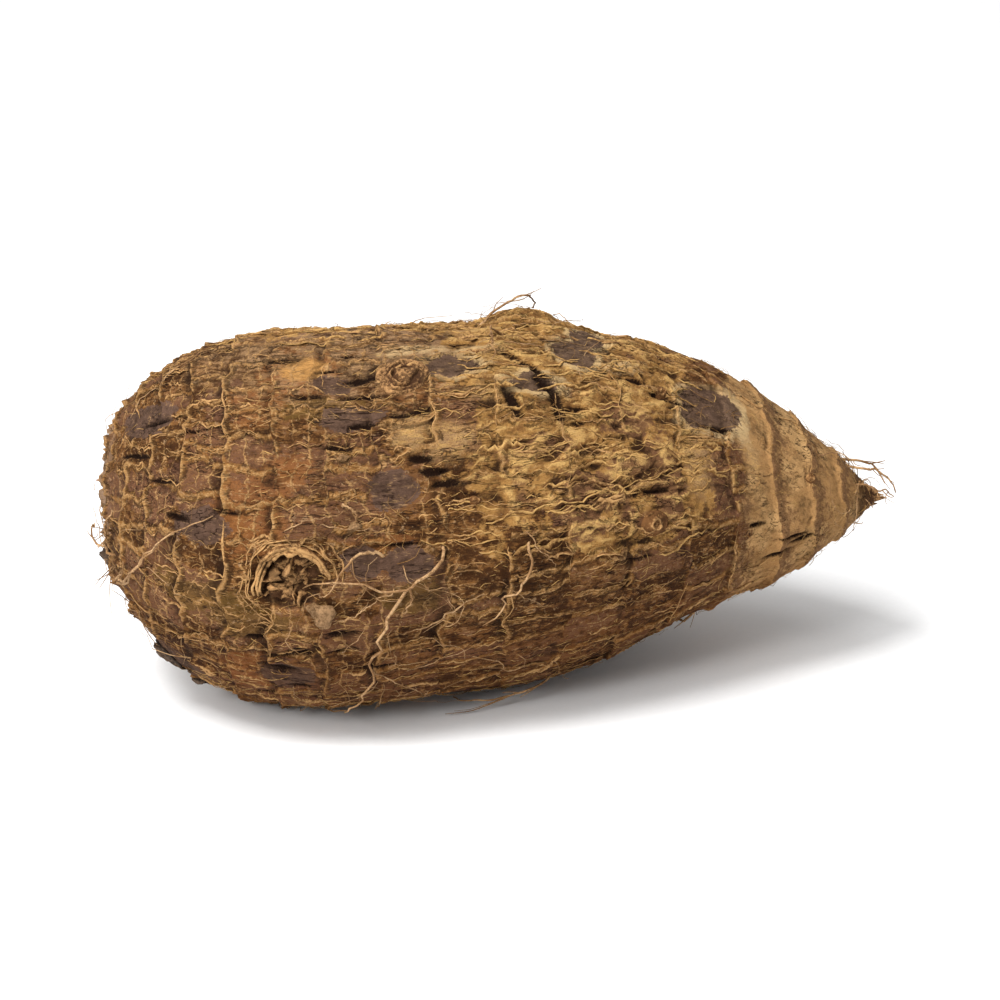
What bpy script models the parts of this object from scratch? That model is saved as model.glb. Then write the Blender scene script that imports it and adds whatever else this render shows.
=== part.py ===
"""Taro root: one whole corm, grown as a single piece, lying on its belly.

Run it with: blender --background --python part.py
Metres, +Z up. +X runs from the broad crown end to the tapered tail, and -Y is the side the
corm bows to. The origin is on the table, under the middle of the corm.
"""

import math
import random

import bmesh
import bpy
import numpy as np
from mathutils import Matrix, Vector, noise

MM = 0.001
NODE = "taro_root"
SEED = 7

# The corm's overall form
LENGTH = 136 * MM  # crown pole to tail pole, along X
RADIUS = 33.3 * MM  # half-width where it is fattest
SHOULDER = 0.30  # fraction of the length where the crown dome reaches full width
WAIST = 0.50  # fraction where the taper to the tail begins
CROWN_POWER = 2.3  # superellipse power of the blunt crown dome
TAIL_POWER = 1.4  # superellipse power of the pointed tail
OVAL = 0.012  # how much wider than tall it is, as a share of the half-width

# The axis, crown to tail: (fraction of length, sideways in mm, up in mm, turn of the rings
# in degrees, seen from above)
AXIS = np.array((
    (0.00, -5.0, 3.2, -7), (0.08, -9.2, 1.1, -6), (0.15, -11.2, 0.1, -4),
    (0.25, -11.6, -0.5, -1), (0.35, -10.0, -0.6, 3), (0.45, -7.0, -0.5, 7),
    (0.55, -3.4, -0.2, 10), (0.65, -0.3, 0.1, 12), (0.75, 1.8, 0.1, 13),
    (0.85, 2.5, -0.3, 13), (0.95, 1.8, -1.0, 12), (1.00, 1.0, -1.6, 11),
))
AXIS_DEGREE = 6
AXIS_MIDDLE = (69.2 * MM, -8.7 * MM)  # brings the middle of the corm over the origin
REST_SINK = 1.3 * MM  # depth of belly that the flat spot takes off

# Slow swellings of the skin, then those with a place of their own:
# (fraction of length, angle in degrees, height, width). Angle 0 faces -Y, 90 is the top.
LUMP_HEIGHT = 1.5 * MM
LUMP_SIZE = 27 * MM
DENT_HEIGHT = 0.5 * MM
DENT_SIZE = 9 * MM
SWELLS = (
    (0.548, 104, 2.9 * MM, 6 * MM),
    (0.47, 96, -0.9 * MM, 12 * MM),
    (0.395, 68, 0.7 * MM, 9 * MM),
    (0.49, 32, -1.4 * MM, 8 * MM),
    (0.246, 2, 0.6 * MM, 9 * MM),
    (0.08, -52, 1.3 * MM, 8 * MM),
    (0.33, 172, 1.0 * MM, 12 * MM),
    (0.62, 215, -1.3 * MM, 9 * MM),
)

# Leaf scars ring the corm. They stand closer together at the crown than on the body
FIRST_SCAR = 5 * MM
CROWN_GAP = 5.8 * MM
BODY_GAP = 10.4 * MM
GAP_POWER = 1.6
SCAR_WAVE = 1.6 * MM

# Relief down one band, as (share of the way to the next scar, torn edge, scale between).
# The torn rim of each scar stands proud towards the crown and sinks slowly behind
BAND_ROWS = (
    (0.00, 1.05 * MM, 0.85 * MM),
    (0.28, 0.80 * MM, 0.05 * MM),
    (0.86, 0.40 * MM, -0.40 * MM),
)
RIM_TEAR = 0.45  # share by which the rim's height varies at random
COLUMNS = 68
SCALE_COLUMNS = (2, 4)  # narrowest and widest scale
FADE_WIDTH = 17 * MM  # the relief fades where the corm is slimmer than this

# Buds and scars, profiles of (radius, height) in mm from the sunk foot to the middle
LEAFY_BUD = ((7.0, -2.0), (4.2, 0.6), (3.6, 0.4), (3.0, 1.1), (2.2, 0.6), (1.3, 1.5), (0.5, 2.3))
TORN_BUD = ((8.4, -2.0), (5.4, 0.9), (4.5, 1.5), (3.8, 0.5), (2.7, -0.1), (1.7, 0.8), (0.6, 0.2))
KNOB_BUD = ((4.6, -2.0), (2.3, 0.7), (1.6, 1.5), (0.7, 1.75))
CROWN_BUD = ((7.4, -2.0), (5.2, 0.7), (4.4, 1.1), (3.8, 0.3), (2.7, 1.3), (1.2, 2.1))
TAIL_STUB = ((3.4, -2.6), (3.0, 0.2), (2.2, 0.9), (1.6, 0.4), (0.8, 0.8))
BUD_SIDES = 10
BUD_TEAR = 0.3  # mm, unevenness of the rims
# (profile, fraction of length, angle in degrees, size)
BUDS = (
    (LEAFY_BUD, 0.395, 68, 1.0),
    (TORN_BUD, 0.246, 2, 1.0),
    (KNOB_BUD, 0.721, 8, 1.0),
    (KNOB_BUD, 0.725, 70, 0.7),
    (KNOB_BUD, 0.897, 29, 0.7),
    (KNOB_BUD, 0.300, -14, 0.8),
    (LEAFY_BUD, 0.33, 172, 0.9),
    (KNOB_BUD, 0.58, 145, 0.9),
    (LEAFY_BUD, 0.66, 238, 0.8),
    (KNOB_BUD, 0.20, 226, 0.9),
    (CROWN_BUD, 0.0, 0, 1.0),
    (TAIL_STUB, 1.0, 0, 1.0),
)

# Thin roots: (fraction of length, angle, heading, length in mm, turn per step, end height
# in mm). Heading 0 runs to the tail and 90 up over the side that faces -Y
ROOTS = (
    (0.443, 14, -128, 29, -9, 1.2),
    (0.425, 8, -104, 26, 4, 1.0),
    (0.385, -20, -35, 14, -9, 1.2),
    (0.375, -26, -120, 15, 6, 1.4),
    (0.455, -10, -155, 12, 12, 1.2),
    (0.020, -14, 48, 21, -5, 1.0),
    (0.045, -34, 66, 12, 10, 1.5),
    (0.030, -20, -150, 7, 0, 2.5),
    (0.480, 97, 5, 16, 4, 1.2),
    (0.520, 88, -170, 15, 9, 1.4),
    (0.690, 88, 20, 6, 0, 6.5),
    (0.960, 78, -12, 10, 4, 4.5),
    (0.970, 40, 15, 8, -8, 4.0),
    (0.955, 120, 10, 9, 8, 3.6),
    (0.310, 160, -70, 22, 8, 1.2),
    (0.320, 196, -160, 17, -8, 1.4),
    (0.600, 158, -15, 18, 9, 1.2),
    (0.615, 148, 80, 12, 8, 1.6),
    (0.160, 125, 30, 16, 7, 1.4),
    (0.190, 240, -150, 13, -6, 1.4),
    (0.780, 285, -160, 14, 7, 1.4),
    (0.820, 200, 35, 13, -6, 1.8),
)
ROOT_RADIUS = 0.42 * MM
ROOT_TIP_SHARE = 0.55  # radius at the tip, as a share of the radius at the skin
ROOT_SUNK = 2.4 * MM
ROOT_ARCH = 1.9 * MM  # how far it stands off the skin halfway along
ROOT_POINTS = 7
LEAST_CLEARANCE = 1.0 * MM  # no root comes nearer the table than this

BARK_COLOUR = (0.24, 0.13, 0.055, 1.0)
BARK_ROUGHNESS = 0.85
MERIDIAN_STEPS = 500
SLOPE_STEP = 0.5 * MM


def superellipse(share, power):
    """Width of a dome, 0 at its pole and 1 at its foot, at a share of the way down."""
    return (1 - (1 - share) ** power) ** (1 / power)


def girth(u):
    """Half-width of the corm at a fraction of its length."""
    if u < SHOULDER:
        return RADIUS * superellipse(u / SHOULDER, CROWN_POWER)
    if u > WAIST:
        return RADIUS * superellipse((1 - u) / (1 - WAIST), TAIL_POWER)
    return RADIUS


SIDEWAYS = np.polyfit(AXIS[:, 0], AXIS[:, 1] * MM, AXIS_DEGREE)
UPWARDS = np.polyfit(AXIS[:, 0], AXIS[:, 2] * MM, AXIS_DEGREE)
RING_TURN = np.polyfit(AXIS[:, 0], np.radians(AXIS[:, 3]), AXIS_DEGREE)


def axis_point(u):
    return Vector((
        LENGTH * u - AXIS_MIDDLE[0],
        float(np.polyval(SIDEWAYS, u)) - AXIS_MIDDLE[1],
        float(np.polyval(UPWARDS, u)) + RADIUS - REST_SINK,
    ))


def ring_frame(u):
    """The way a ring faces, and the unit vectors to its -Y side and up."""
    turn = float(np.polyval(RING_TURN, u))
    along = Vector((math.cos(turn), math.sin(turn), 0))
    return along, Vector((math.sin(turn), -math.cos(turn), 0)), Vector((0, 0, 1))


def meridian():
    """Arc lengths down the skin from the crown pole, and the fractions they reach."""
    fractions = (1 - np.cos(np.linspace(0, math.pi, MERIDIAN_STEPS))) / 2
    widths = np.array([girth(u) for u in fractions])
    steps = np.hypot(np.diff(fractions * LENGTH), np.diff(widths))
    return np.concatenate([[0], np.cumsum(steps)]), fractions


ARCS, FRACTIONS = meridian()
FULL_ARC = float(ARCS[-1])


def fraction_at(arc):
    return float(np.interp(arc, ARCS, FRACTIONS))


def arc_at(u):
    return float(np.interp(u, FRACTIONS, ARCS))


def plain_point(arc, angle):
    """A point on the corm's smooth form."""
    u = fraction_at(arc)
    _, side, up = ring_frame(u)
    out = side * math.cos(angle) + up * math.sin(angle)
    return axis_point(u) + out * girth(u) * (1 + OVAL * math.cos(2 * angle))


def outward(arc, angle):
    """The smooth form's outward direction."""
    if not SLOPE_STEP < arc < FULL_ARC - SLOPE_STEP:
        along = ring_frame(fraction_at(arc))[0]
        return -along if arc < FULL_ARC / 2 else along
    down = plain_point(arc + SLOPE_STEP, angle) - plain_point(arc - SLOPE_STEP, angle)
    round_about = plain_point(arc, angle + 0.02) - plain_point(arc, angle - 0.02)
    return down.cross(round_about).normalized()


def swelling(point, u, angle):
    """Height of the slow lumps, of the small dents and of the placed swells."""
    height = LUMP_HEIGHT * noise.noise(point / LUMP_SIZE)
    height += DENT_HEIGHT * noise.noise(point / DENT_SIZE)
    for swell_u, swell_angle, swell_height, width in SWELLS:
        turn = math.remainder(angle - math.radians(swell_angle), math.tau)
        away = math.hypot((u - swell_u) * LENGTH, turn * girth(swell_u))
        height += swell_height * math.exp(-((away / width) ** 2))
    return height * min(1.0, 2 * girth(u) / RADIUS)


def skin_point(arc, angle, height=0.0):
    """A point at a height above the swollen skin, and the outward direction there."""
    normal = outward(arc, angle)
    point = plain_point(arc, angle)
    return point + normal * (swelling(point, fraction_at(arc), angle) + height), normal


def scar_arcs():
    """Arc lengths of the leaf scars, from the crown to the tail."""
    arcs = [FIRST_SCAR]
    while True:
        share = (arcs[-1] / FULL_ARC) ** GAP_POWER
        gap = CROWN_GAP + (BODY_GAP - CROWN_GAP) * math.sin(math.pi * share)
        if arcs[-1] + 1.3 * gap > FULL_ARC:
            return arcs
        arcs.append(arcs[-1] + gap)


def scar_wave(arc, angle):
    """How far a scar wanders off its ring. It dies away at the poles."""
    ring = Vector((1.3 * math.cos(angle), 1.3 * math.sin(angle), arc / (30 * MM)))
    ends = min(1.0, arc / (12 * MM), (FULL_ARC - arc) / (12 * MM))
    return SCAR_WAVE * ends * noise.noise(ring)


def mesh_rows(scars):
    """(arc, band number, row in the band) of each row of points, poles left out."""
    rows = []
    for band, (start, end) in enumerate(zip(scars, scars[1:] + [FULL_ARC])):
        for place, (share, _, _) in enumerate(BAND_ROWS):
            rows.append((start + share * (end - start), band, place))
    return rows


def scale_edges(bands, rng):
    """For each band, the columns where a torn edge stands between two scales."""
    edges = []
    for _ in range(bands):
        column, found = rng.randint(0, 1), set()
        while column < COLUMNS - 1:
            found.add(column)
            column += rng.randint(*SCALE_COLUMNS)
        edges.append(found)
    return edges


def relief(row, column, edges, tear):
    """Height of the scars and of the raised net at one point of the mesh."""
    arc, band, place = row
    _, edge_height, scale_height = BAND_ROWS[place]
    height = edge_height if column in edges[band] else scale_height
    if place == 0:
        height *= 1 + RIM_TEAR * tear
    return height * min(1.0, girth(fraction_at(arc)) / FADE_WIDTH)


def make_body(rng):
    """The corm: a globe of rows and columns, whose points are moved to the skin."""
    rows = mesh_rows(scar_arcs())
    edges = scale_edges(len(scar_arcs()), rng)
    bm = bmesh.new()
    bmesh.ops.create_uvsphere(bm, u_segments=COLUMNS, v_segments=len(rows) + 1, radius=1.0)
    for vertex in bm.verts:
        polar = math.acos(max(-1.0, min(1.0, vertex.co.z)))
        number = round(polar / math.pi * (len(rows) + 1)) - 1
        angle = math.atan2(vertex.co.y, vertex.co.x)
        column = round(angle / math.tau * COLUMNS) % COLUMNS
        if number < 0:
            vertex.co = skin_point(0, 0)[0]
        elif number == len(rows):
            vertex.co = skin_point(FULL_ARC, 0)[0]
        else:
            arc = rows[number][0] + scar_wave(rows[number][0], angle)
            height = relief(rows[number], column, edges, rng.uniform(-1, 1))
            vertex.co = skin_point(arc, angle, height)[0]
    bmesh.ops.recalc_face_normals(bm, faces=bm.faces)
    return object_from(bm, NODE)


def make_bud(name, profile, u, angle, size, rng):
    """A round bud or scar, turned from its profile and stood on the skin."""
    point, normal = skin_point(arc_at(u), math.radians(angle))
    bm = bmesh.new()
    rim = [bm.verts.new((radius * MM, 0, height * MM)) for radius, height in profile]
    edges = [bm.edges.new(pair) for pair in zip(rim, rim[1:])]
    turned = {"cent": (0, 0, 0), "axis": (0, 0, 1), "angle": math.tau, "steps": BUD_SIDES}
    bmesh.ops.spin(bm, geom=rim + edges, use_merge=True, **turned)
    bmesh.ops.remove_doubles(bm, verts=bm.verts, dist=0.01 * MM)
    bmesh.ops.holes_fill(bm, edges=bm.edges, sides=BUD_SIDES)
    bmesh.ops.recalc_face_normals(bm, faces=bm.faces)
    for vertex in bm.verts:
        if vertex.co.z > 0.15 * MM:
            vertex.co += Vector([rng.uniform(-1, 1) * BUD_TEAR * MM for _ in range(3)])
    stand = Matrix.Translation(point) @ normal.to_track_quat("Z", "Y").to_matrix().to_4x4()
    bmesh.ops.transform(bm, matrix=stand @ Matrix.Scale(size, 4), verts=bm.verts)
    return object_from(bm, name)


def root_path(u, angle, heading, length, curl, end_height):
    """Points of a thin root: out of the skin, over it in an arch, and down again."""
    arc, turn, heading = arc_at(u), math.radians(angle), math.radians(heading)
    step = length * MM / (ROOT_POINTS - 1)
    path = []
    for i in range(ROOT_POINTS):
        share = i / (ROOT_POINTS - 1)
        height = ROOT_ARCH * math.sin(math.pi * share) + end_height * MM * share**1.5
        point = skin_point(arc, turn, height - ROOT_SUNK * (1 - share) ** 3)[0]
        point.z = max(point.z, LEAST_CLEARANCE)
        path.append(point)
        width = max(girth(fraction_at(arc)), 0.15 * RADIUS)
        arc = min(max(arc + step * math.cos(heading), 3 * MM), FULL_ARC)
        turn += step * math.sin(heading) / width
        heading += math.radians(curl)
    return path


def make_root(name, path):
    """A four-sided tapering tube along the path."""
    curve = bpy.data.curves.new(name, "CURVE")
    curve.dimensions = "3D"
    curve.bevel_depth = ROOT_RADIUS
    curve.bevel_resolution = 0
    curve.use_fill_caps = True
    spline = curve.splines.new("POLY")
    spline.points.add(len(path) - 1)
    for i, (point, place) in enumerate(zip(spline.points, path)):
        point.co = (*place, 1)
        point.radius = 1 - (1 - ROOT_TIP_SHARE) * i / (len(path) - 1)
    guide = bpy.data.objects.new(name, curve)
    bm = bmesh.new()
    bm.from_mesh(guide.to_mesh())
    bpy.data.objects.remove(guide)
    bmesh.ops.remove_doubles(bm, verts=bm.verts, dist=0.01 * MM)
    bmesh.ops.recalc_face_normals(bm, faces=bm.faces)
    return object_from(bm, name)


def object_from(bm, name):
    mesh = bpy.data.meshes.new(name)
    bm.to_mesh(mesh)
    bm.free()
    made = bpy.data.objects.new(name, mesh)
    bpy.context.scene.collection.objects.link(made)
    return made


def flatten_belly(corm):
    """Whatever hangs below the table comes up to it, which leaves the flat spot."""
    for vertex in corm.data.vertices:
        vertex.co.z = max(vertex.co.z, 0.0)


def fuse(corm, pieces):
    """Joins the pieces to the corm in one solid."""
    grown = bpy.data.collections.new("grown")
    bpy.context.scene.collection.children.link(grown)
    for piece in pieces:
        grown.objects.link(piece)
        bpy.context.scene.collection.objects.unlink(piece)
    union = corm.modifiers.new("fuse", "BOOLEAN")
    union.operation = "UNION"
    union.solver = "EXACT"
    union.operand_type = "COLLECTION"
    union.collection = grown
    graph = bpy.context.evaluated_depsgraph_get()
    joined = bpy.data.meshes.new_from_object(corm.evaluated_get(graph))
    corm.modifiers.clear()
    corm.data = joined
    for piece in pieces:
        bpy.data.objects.remove(piece)
    bpy.data.collections.remove(grown)


def bark():
    material = bpy.data.materials.new("bark")
    material.use_nodes = True
    shader = material.node_tree.nodes["Principled BSDF"]
    shader.inputs["Base Color"].default_value = BARK_COLOUR
    shader.inputs["Roughness"].default_value = BARK_ROUGHNESS
    shader.inputs["Metallic"].default_value = 0.0
    return material


def main():
    for old in list(bpy.data.objects):
        bpy.data.objects.remove(old)
    rng = random.Random(SEED)
    corm = make_body(rng)
    flatten_belly(corm)
    grown = [make_bud(f"bud_{i}", *facts, rng) for i, facts in enumerate(BUDS)]
    grown += [make_root(f"root_{i}", root_path(*facts)) for i, facts in enumerate(ROOTS)]
    fuse(corm, grown)
    corm.data.materials.clear()
    corm.data.materials.append(bark())
    corm.data.shade_smooth()
    corm.data.set_sharp_from_angle(angle=math.radians(40))


main()
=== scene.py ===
import math
import random

import bmesh
import bpy
import numpy as np
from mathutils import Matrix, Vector, noise


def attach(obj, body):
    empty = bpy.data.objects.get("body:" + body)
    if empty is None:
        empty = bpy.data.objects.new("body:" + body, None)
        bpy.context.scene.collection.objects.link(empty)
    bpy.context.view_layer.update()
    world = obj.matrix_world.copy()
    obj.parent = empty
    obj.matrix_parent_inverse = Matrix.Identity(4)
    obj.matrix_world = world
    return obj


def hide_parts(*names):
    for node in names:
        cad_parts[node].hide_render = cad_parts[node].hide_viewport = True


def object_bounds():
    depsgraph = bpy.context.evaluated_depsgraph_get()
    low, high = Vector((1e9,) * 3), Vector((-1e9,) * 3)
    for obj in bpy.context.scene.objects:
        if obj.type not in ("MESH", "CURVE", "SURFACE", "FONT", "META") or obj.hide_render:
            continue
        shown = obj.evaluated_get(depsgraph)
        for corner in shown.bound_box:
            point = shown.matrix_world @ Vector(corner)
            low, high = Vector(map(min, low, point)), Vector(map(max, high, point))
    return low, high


# One whole taro root on its belly, with its scaly bark, buds and thin roots.
# Lengths are millimetres until a piece is finished. Angle 0 faces -Y, and 90 is the top.
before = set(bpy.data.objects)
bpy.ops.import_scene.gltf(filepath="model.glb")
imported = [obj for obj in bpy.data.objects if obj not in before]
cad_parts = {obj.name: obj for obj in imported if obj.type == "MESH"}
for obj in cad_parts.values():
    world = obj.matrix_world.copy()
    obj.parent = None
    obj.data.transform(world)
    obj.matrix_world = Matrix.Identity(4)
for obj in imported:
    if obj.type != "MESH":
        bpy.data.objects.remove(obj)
cadLow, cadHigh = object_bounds()
mm = 0.001
node = "taro_root"
body = "root"
middle = (cadLow + cadHigh) / 2
span = (cadHigh - cadLow).length
print("frame loaded")


form = {
    "length": 136.0,  # crown pole to tail pole
    "radius": 33.3,
    "shoulder": 0.30,  # share of the length where the crown dome reaches full width
    "waist": 0.50,  # share where the taper starts
    "crownPower": 2.3,
    "tailPower": 1.4,
    "oval": 0.012,
    "restSink": 1.3,
    "middle": (69.2, -8.7),
    # share of the length, sideways, up, turn of the rings in degrees
    "axis": np.array((
        (0.00, -5.0, 3.2, -7), (0.08, -9.2, 1.1, -6), (0.15, -11.2, 0.1, -4),
        (0.25, -11.6, -0.5, -1), (0.35, -10.0, -0.6, 3), (0.45, -7.0, -0.5, 7),
        (0.55, -3.4, -0.2, 10), (0.65, -0.3, 0.1, 12), (0.75, 1.8, 0.1, 13),
        (0.85, 2.5, -0.3, 13), (0.95, 1.8, -1.0, 12), (1.00, 1.0, -1.6, 11),
    )),
    "axisDegree": 6,
    "lumps": ((1.5, 27.0), (0.5, 9.0)),  # height, size
    # share of the length, angle, height, width
    "swells": (
        (0.548, 104, 2.9, 6), (0.47, 96, -0.9, 12), (0.395, 68, 0.7, 9), (0.49, 32, -1.4, 8),
        (0.246, 2, 0.6, 9), (0.08, -52, 1.3, 8), (0.33, 172, 1.0, 12), (0.62, 215, -1.3, 9),
    ),
}

axisTable = form["axis"]
axisSide = np.polyfit(axisTable[:, 0], axisTable[:, 1], form["axisDegree"])
axisUp = np.polyfit(axisTable[:, 0], axisTable[:, 2], form["axisDegree"])
axisTurn = np.polyfit(axisTable[:, 0], np.radians(axisTable[:, 3]), form["axisDegree"])


def noiseAt(points, size, offset=0.0):  # smooth noise, about -0.7 to 0.7, at an (n, 3) array
    flat = (np.asarray(points) / size + offset).reshape(-1, 3).tolist()
    return np.array([noise.noise(p) for p in flat]).reshape(np.shape(points)[:-1])


def smooth(low, high, value):  # 0 below low, 1 above high, eased between
    share = np.clip((value - low) / (high - low), 0, 1)
    return share * share * (3 - 2 * share)


def bump(value, width):
    return np.exp(-((value / width) ** 2))


def dome(share, power):
    return (1 - (1 - np.clip(share, 0, 1)) ** power) ** (1 / power)


def girth(u):
    crown = dome(u / form["shoulder"], form["crownPower"])
    tail = dome((1 - u) / (1 - form["waist"]), form["tailPower"])
    return form["radius"] * crown * tail


def meridian(steps=500):
    shares = (1 - np.cos(np.linspace(0, math.pi, steps))) / 2
    lengths = np.hypot(np.diff(shares * form["length"]), np.diff(girth(shares)))
    return np.concatenate([[0], np.cumsum(lengths)]), shares


arcTable, shareTable = meridian()
fullArc = float(arcTable[-1])


def shareAt(arc):
    return np.interp(arc, arcTable, shareTable)


def arcAt(u):
    return np.interp(u, shareTable, arcTable)


def plainPoint(arc, angle):  # the smooth form
    u = shareAt(arc)
    turn = np.polyval(axisTurn, u)
    width = girth(u) * (1 + form["oval"] * np.cos(2 * angle))
    side = width * np.cos(angle)
    x = form["length"] * u - form["middle"][0] + side * np.sin(turn)
    y = np.polyval(axisSide, u) - form["middle"][1] - side * np.cos(turn)
    z = np.polyval(axisUp, u) + form["radius"] - form["restSink"] + width * np.sin(angle)
    return np.stack(np.broadcast_arrays(x, y, z), -1)


def outward(arc, angle, step=0.5):
    down = plainPoint(arc + step, angle) - plainPoint(arc - step, angle)
    around = plainPoint(arc, angle + 0.02) - plainPoint(arc, angle - 0.02)
    normal = np.cross(down, around)
    size = np.linalg.norm(normal, axis=-1, keepdims=True)
    turn = np.polyval(axisTurn, shareAt(arc))
    along = np.stack(np.broadcast_arrays(np.cos(turn), np.sin(turn), 0.0 * turn), -1)
    pole = np.where((np.asarray(arc) < fullArc / 2)[..., None], -along, along)
    return np.where(size > 1e-6, normal / np.maximum(size, 1e-9), pole)


def around(angle, degrees):  # turn from a place to each angle, the short way
    return (angle - math.radians(degrees) + math.pi) % math.tau - math.pi


def swelling(points, u, angle):
    height = sum(tall * noiseAt(points, size) for tall, size in form["lumps"])
    for swellU, degrees, tall, width in form["swells"]:
        across = around(angle, degrees) * girth(swellU)
        height = height + tall * bump(np.hypot((u - swellU) * form["length"], across), width)
    return height * np.minimum(1.0, 2 * girth(u) / form["radius"])


scars = {
    "first": 5.0,
    "crownGap": 5.8,
    "bodyGap": 10.4,
    "gapPower": 1.6,
    "wave": 1.6,
    "scaleWidth": (2.8, 6.8),  # narrowest and widest scale
    "seed": 11,
}


def scarArcs():
    arcs = [scars["first"]]
    while True:
        share = (arcs[-1] / fullArc) ** scars["gapPower"]
        gap = scars["crownGap"] + (scars["bodyGap"] - scars["crownGap"]) * math.sin(math.pi * share)
        if arcs[-1] + 1.3 * gap > fullArc:
            return arcs
        arcs.append(arcs[-1] + gap)


scarList = scarArcs()
bandEnds = scarList + [fullArc]


def scarWave(arc, angle):
    ring = np.stack(np.broadcast_arrays(1.3 * np.cos(angle), 1.3 * np.sin(angle), arc / 30), -1)
    ends = np.clip(np.minimum(arc, fullArc - arc) / 12, 0, 1)
    return scars["wave"] * ends * noiseAt(ring, 1.0)


def scaleEdges(rng):  # for each band, the angles of the torn edges between its scales
    edges = []
    for start, end in zip(scarList, bandEnds[1:]):
        width = float(girth(shareAt((start + end) / 2)))
        angle, found = rng.uniform(0, 0.1), []
        while angle < math.tau - 2.5 / width:
            found.append(angle)
            angle += rng.uniform(*scars["scaleWidth"]) / max(width, 6)
        edges.append(np.array(found))
    return edges


edgeRng = random.Random(scars["seed"])
edgeList = scaleEdges(edgeRng)


def edgeDrift(band, index, share):  # sideways wander of one torn edge, in mm
    spot = np.stack(np.broadcast_arrays(share * 2.2, band * 3.7, index * 5.3), -1)
    return 1.6 * noiseAt(spot, 1.0) + 0.8 * noiseAt(spot * 3.1, 1.0) + 0.35 * noiseAt(spot * 8.3, 1.0)


# Each: share of the length, angle, half length, half width
patches = {
    "slate": (
        (0.762, 59, 5.4, 4.6), (0.735, 52, 2.6, 2.4), (0.597, 77, 3.4, 4.4), (0.622, 88, 2.8, 3.4),
        (0.437, 69, 4.4, 2.3), (0.073, 60, 5.0, 3.4), (0.296, 64, 3.4, 2.2), (0.314, 51, 4.4, 2.2),
        (0.362, 29, 4.0, 3.0), (0.154, 18, 4.4, 2.6), (0.324, 7, 3.2, 2.8), (0.377, 7, 3.6, 3.2),
        (0.100, -50, 6.0, 3.4), (0.245, -30, 4.0, 2.6), (0.530, 59, 3.8, 2.2),
        (0.520, 170, 5.5, 3.6), (0.250, 215, 4.0, 3.0), (0.700, 250, 4.6, 3.4), (0.430, 300, 4.0, 2.4),
    ),
    "orange": ((0.264, 73, 4.8, 4.8), (0.480, 200, 5.0, 4.0)),
    "rust": (
        (0.262, 72, 6.5, 7.5), (0.204, 58, 4.0, 5.0), (0.204, 22, 6.0, 6.5), (0.240, 34, 4.0, 3.0),
        (0.350, 10, 6.0, 3.0), (0.400, 58, 4.0, 3.0), (0.300, -52, 7.0, 3.4), (0.200, -32, 5.0, 4.0),
        (0.480, 200, 8.0, 6.0), (0.200, 160, 6.0, 5.0), (0.560, 285, 7.0, 4.0),
    ),
    "mauve": (
        (0.172, 60, 3.5, 4.0), (0.089, 27, 4.0, 4.0), (0.146, 31, 3.5, 4.0), (0.246, 26, 3.5, 3.0),
        (0.326, 37, 4.0, 4.0), (0.220, -18, 4.0, 3.5), (0.529, 38, 4.0, 1.8), (0.644, 48, 3.5, 2.5),
        (0.642, 31, 3.5, 2.5), (0.684, 28, 2.4, 6.0), (0.764, 26, 2.6, 6.5), (0.579, 25, 4.5, 2.5),
        (0.563, 15, 4.0, 3.0), (0.270, -42, 7.0, 3.0), (0.820, 20, 2.4, 6.0),
    ),
    "olive": (
        (0.155, -4, 7.0, 3.0), (0.200, -12, 6.0, 3.0), (0.282, 54, 6.0, 1.9), (0.380, -4, 4.0, 2.0),
        (0.400, 62, 4.0, 1.6), (0.535, 66, 3.0, 1.2),
    ),
    "sand": (
        (0.385, 47, 3.6, 3.4), (0.430, 42, 4.0, 2.6), (0.460, 55, 3.6, 2.0), (0.728, 30, 2.6, 6.0),
        (0.806, 36, 2.2, 7.0), (0.328, 108, 6.0, 3.0), (0.470, 92, 5.0, 2.0),
    ),
    "pale": (
        (0.794, 51, 2.2, 4.2), (0.775, 46, 3.4, 1.6), (0.400, 78, 5.5, 1.5), (0.470, 78, 4.0, 1.4),
        (0.640, 70, 3.0, 1.6),
    ),
    # how many more of each lie on the sides that aren't placed above
    "more": {"slate": 10, "rust": 16, "mauve": 22, "olive": 9, "sand": 9},
    # how far the edge of each kind wanders, as a share of the length and in radians
    "warps": {
        "slate": (0.010, 0.05), "orange": (0.006, 0.04), "rust": (0.012, 0.08), "mauve": (0.012, 0.08),
        "olive": (0.012, 0.08), "sand": (0.012, 0.08), "pale": (0.010, 0.06),
    },
    "seed": 77,
}


def scatterPatches():
    rng = random.Random(patches["seed"])
    found = {}
    for kind in patches["warps"]:
        spots = list(patches[kind])
        for _ in range(patches["more"].get(kind, 0)):
            place = (rng.uniform(0.08, 0.9), rng.uniform(108, 295))
            spots.append((*place, rng.uniform(2.5, 6.5), rng.uniform(2.0, 4.5)))
        found[kind] = spots
    return found


patchSpots = scatterPatches()

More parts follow.
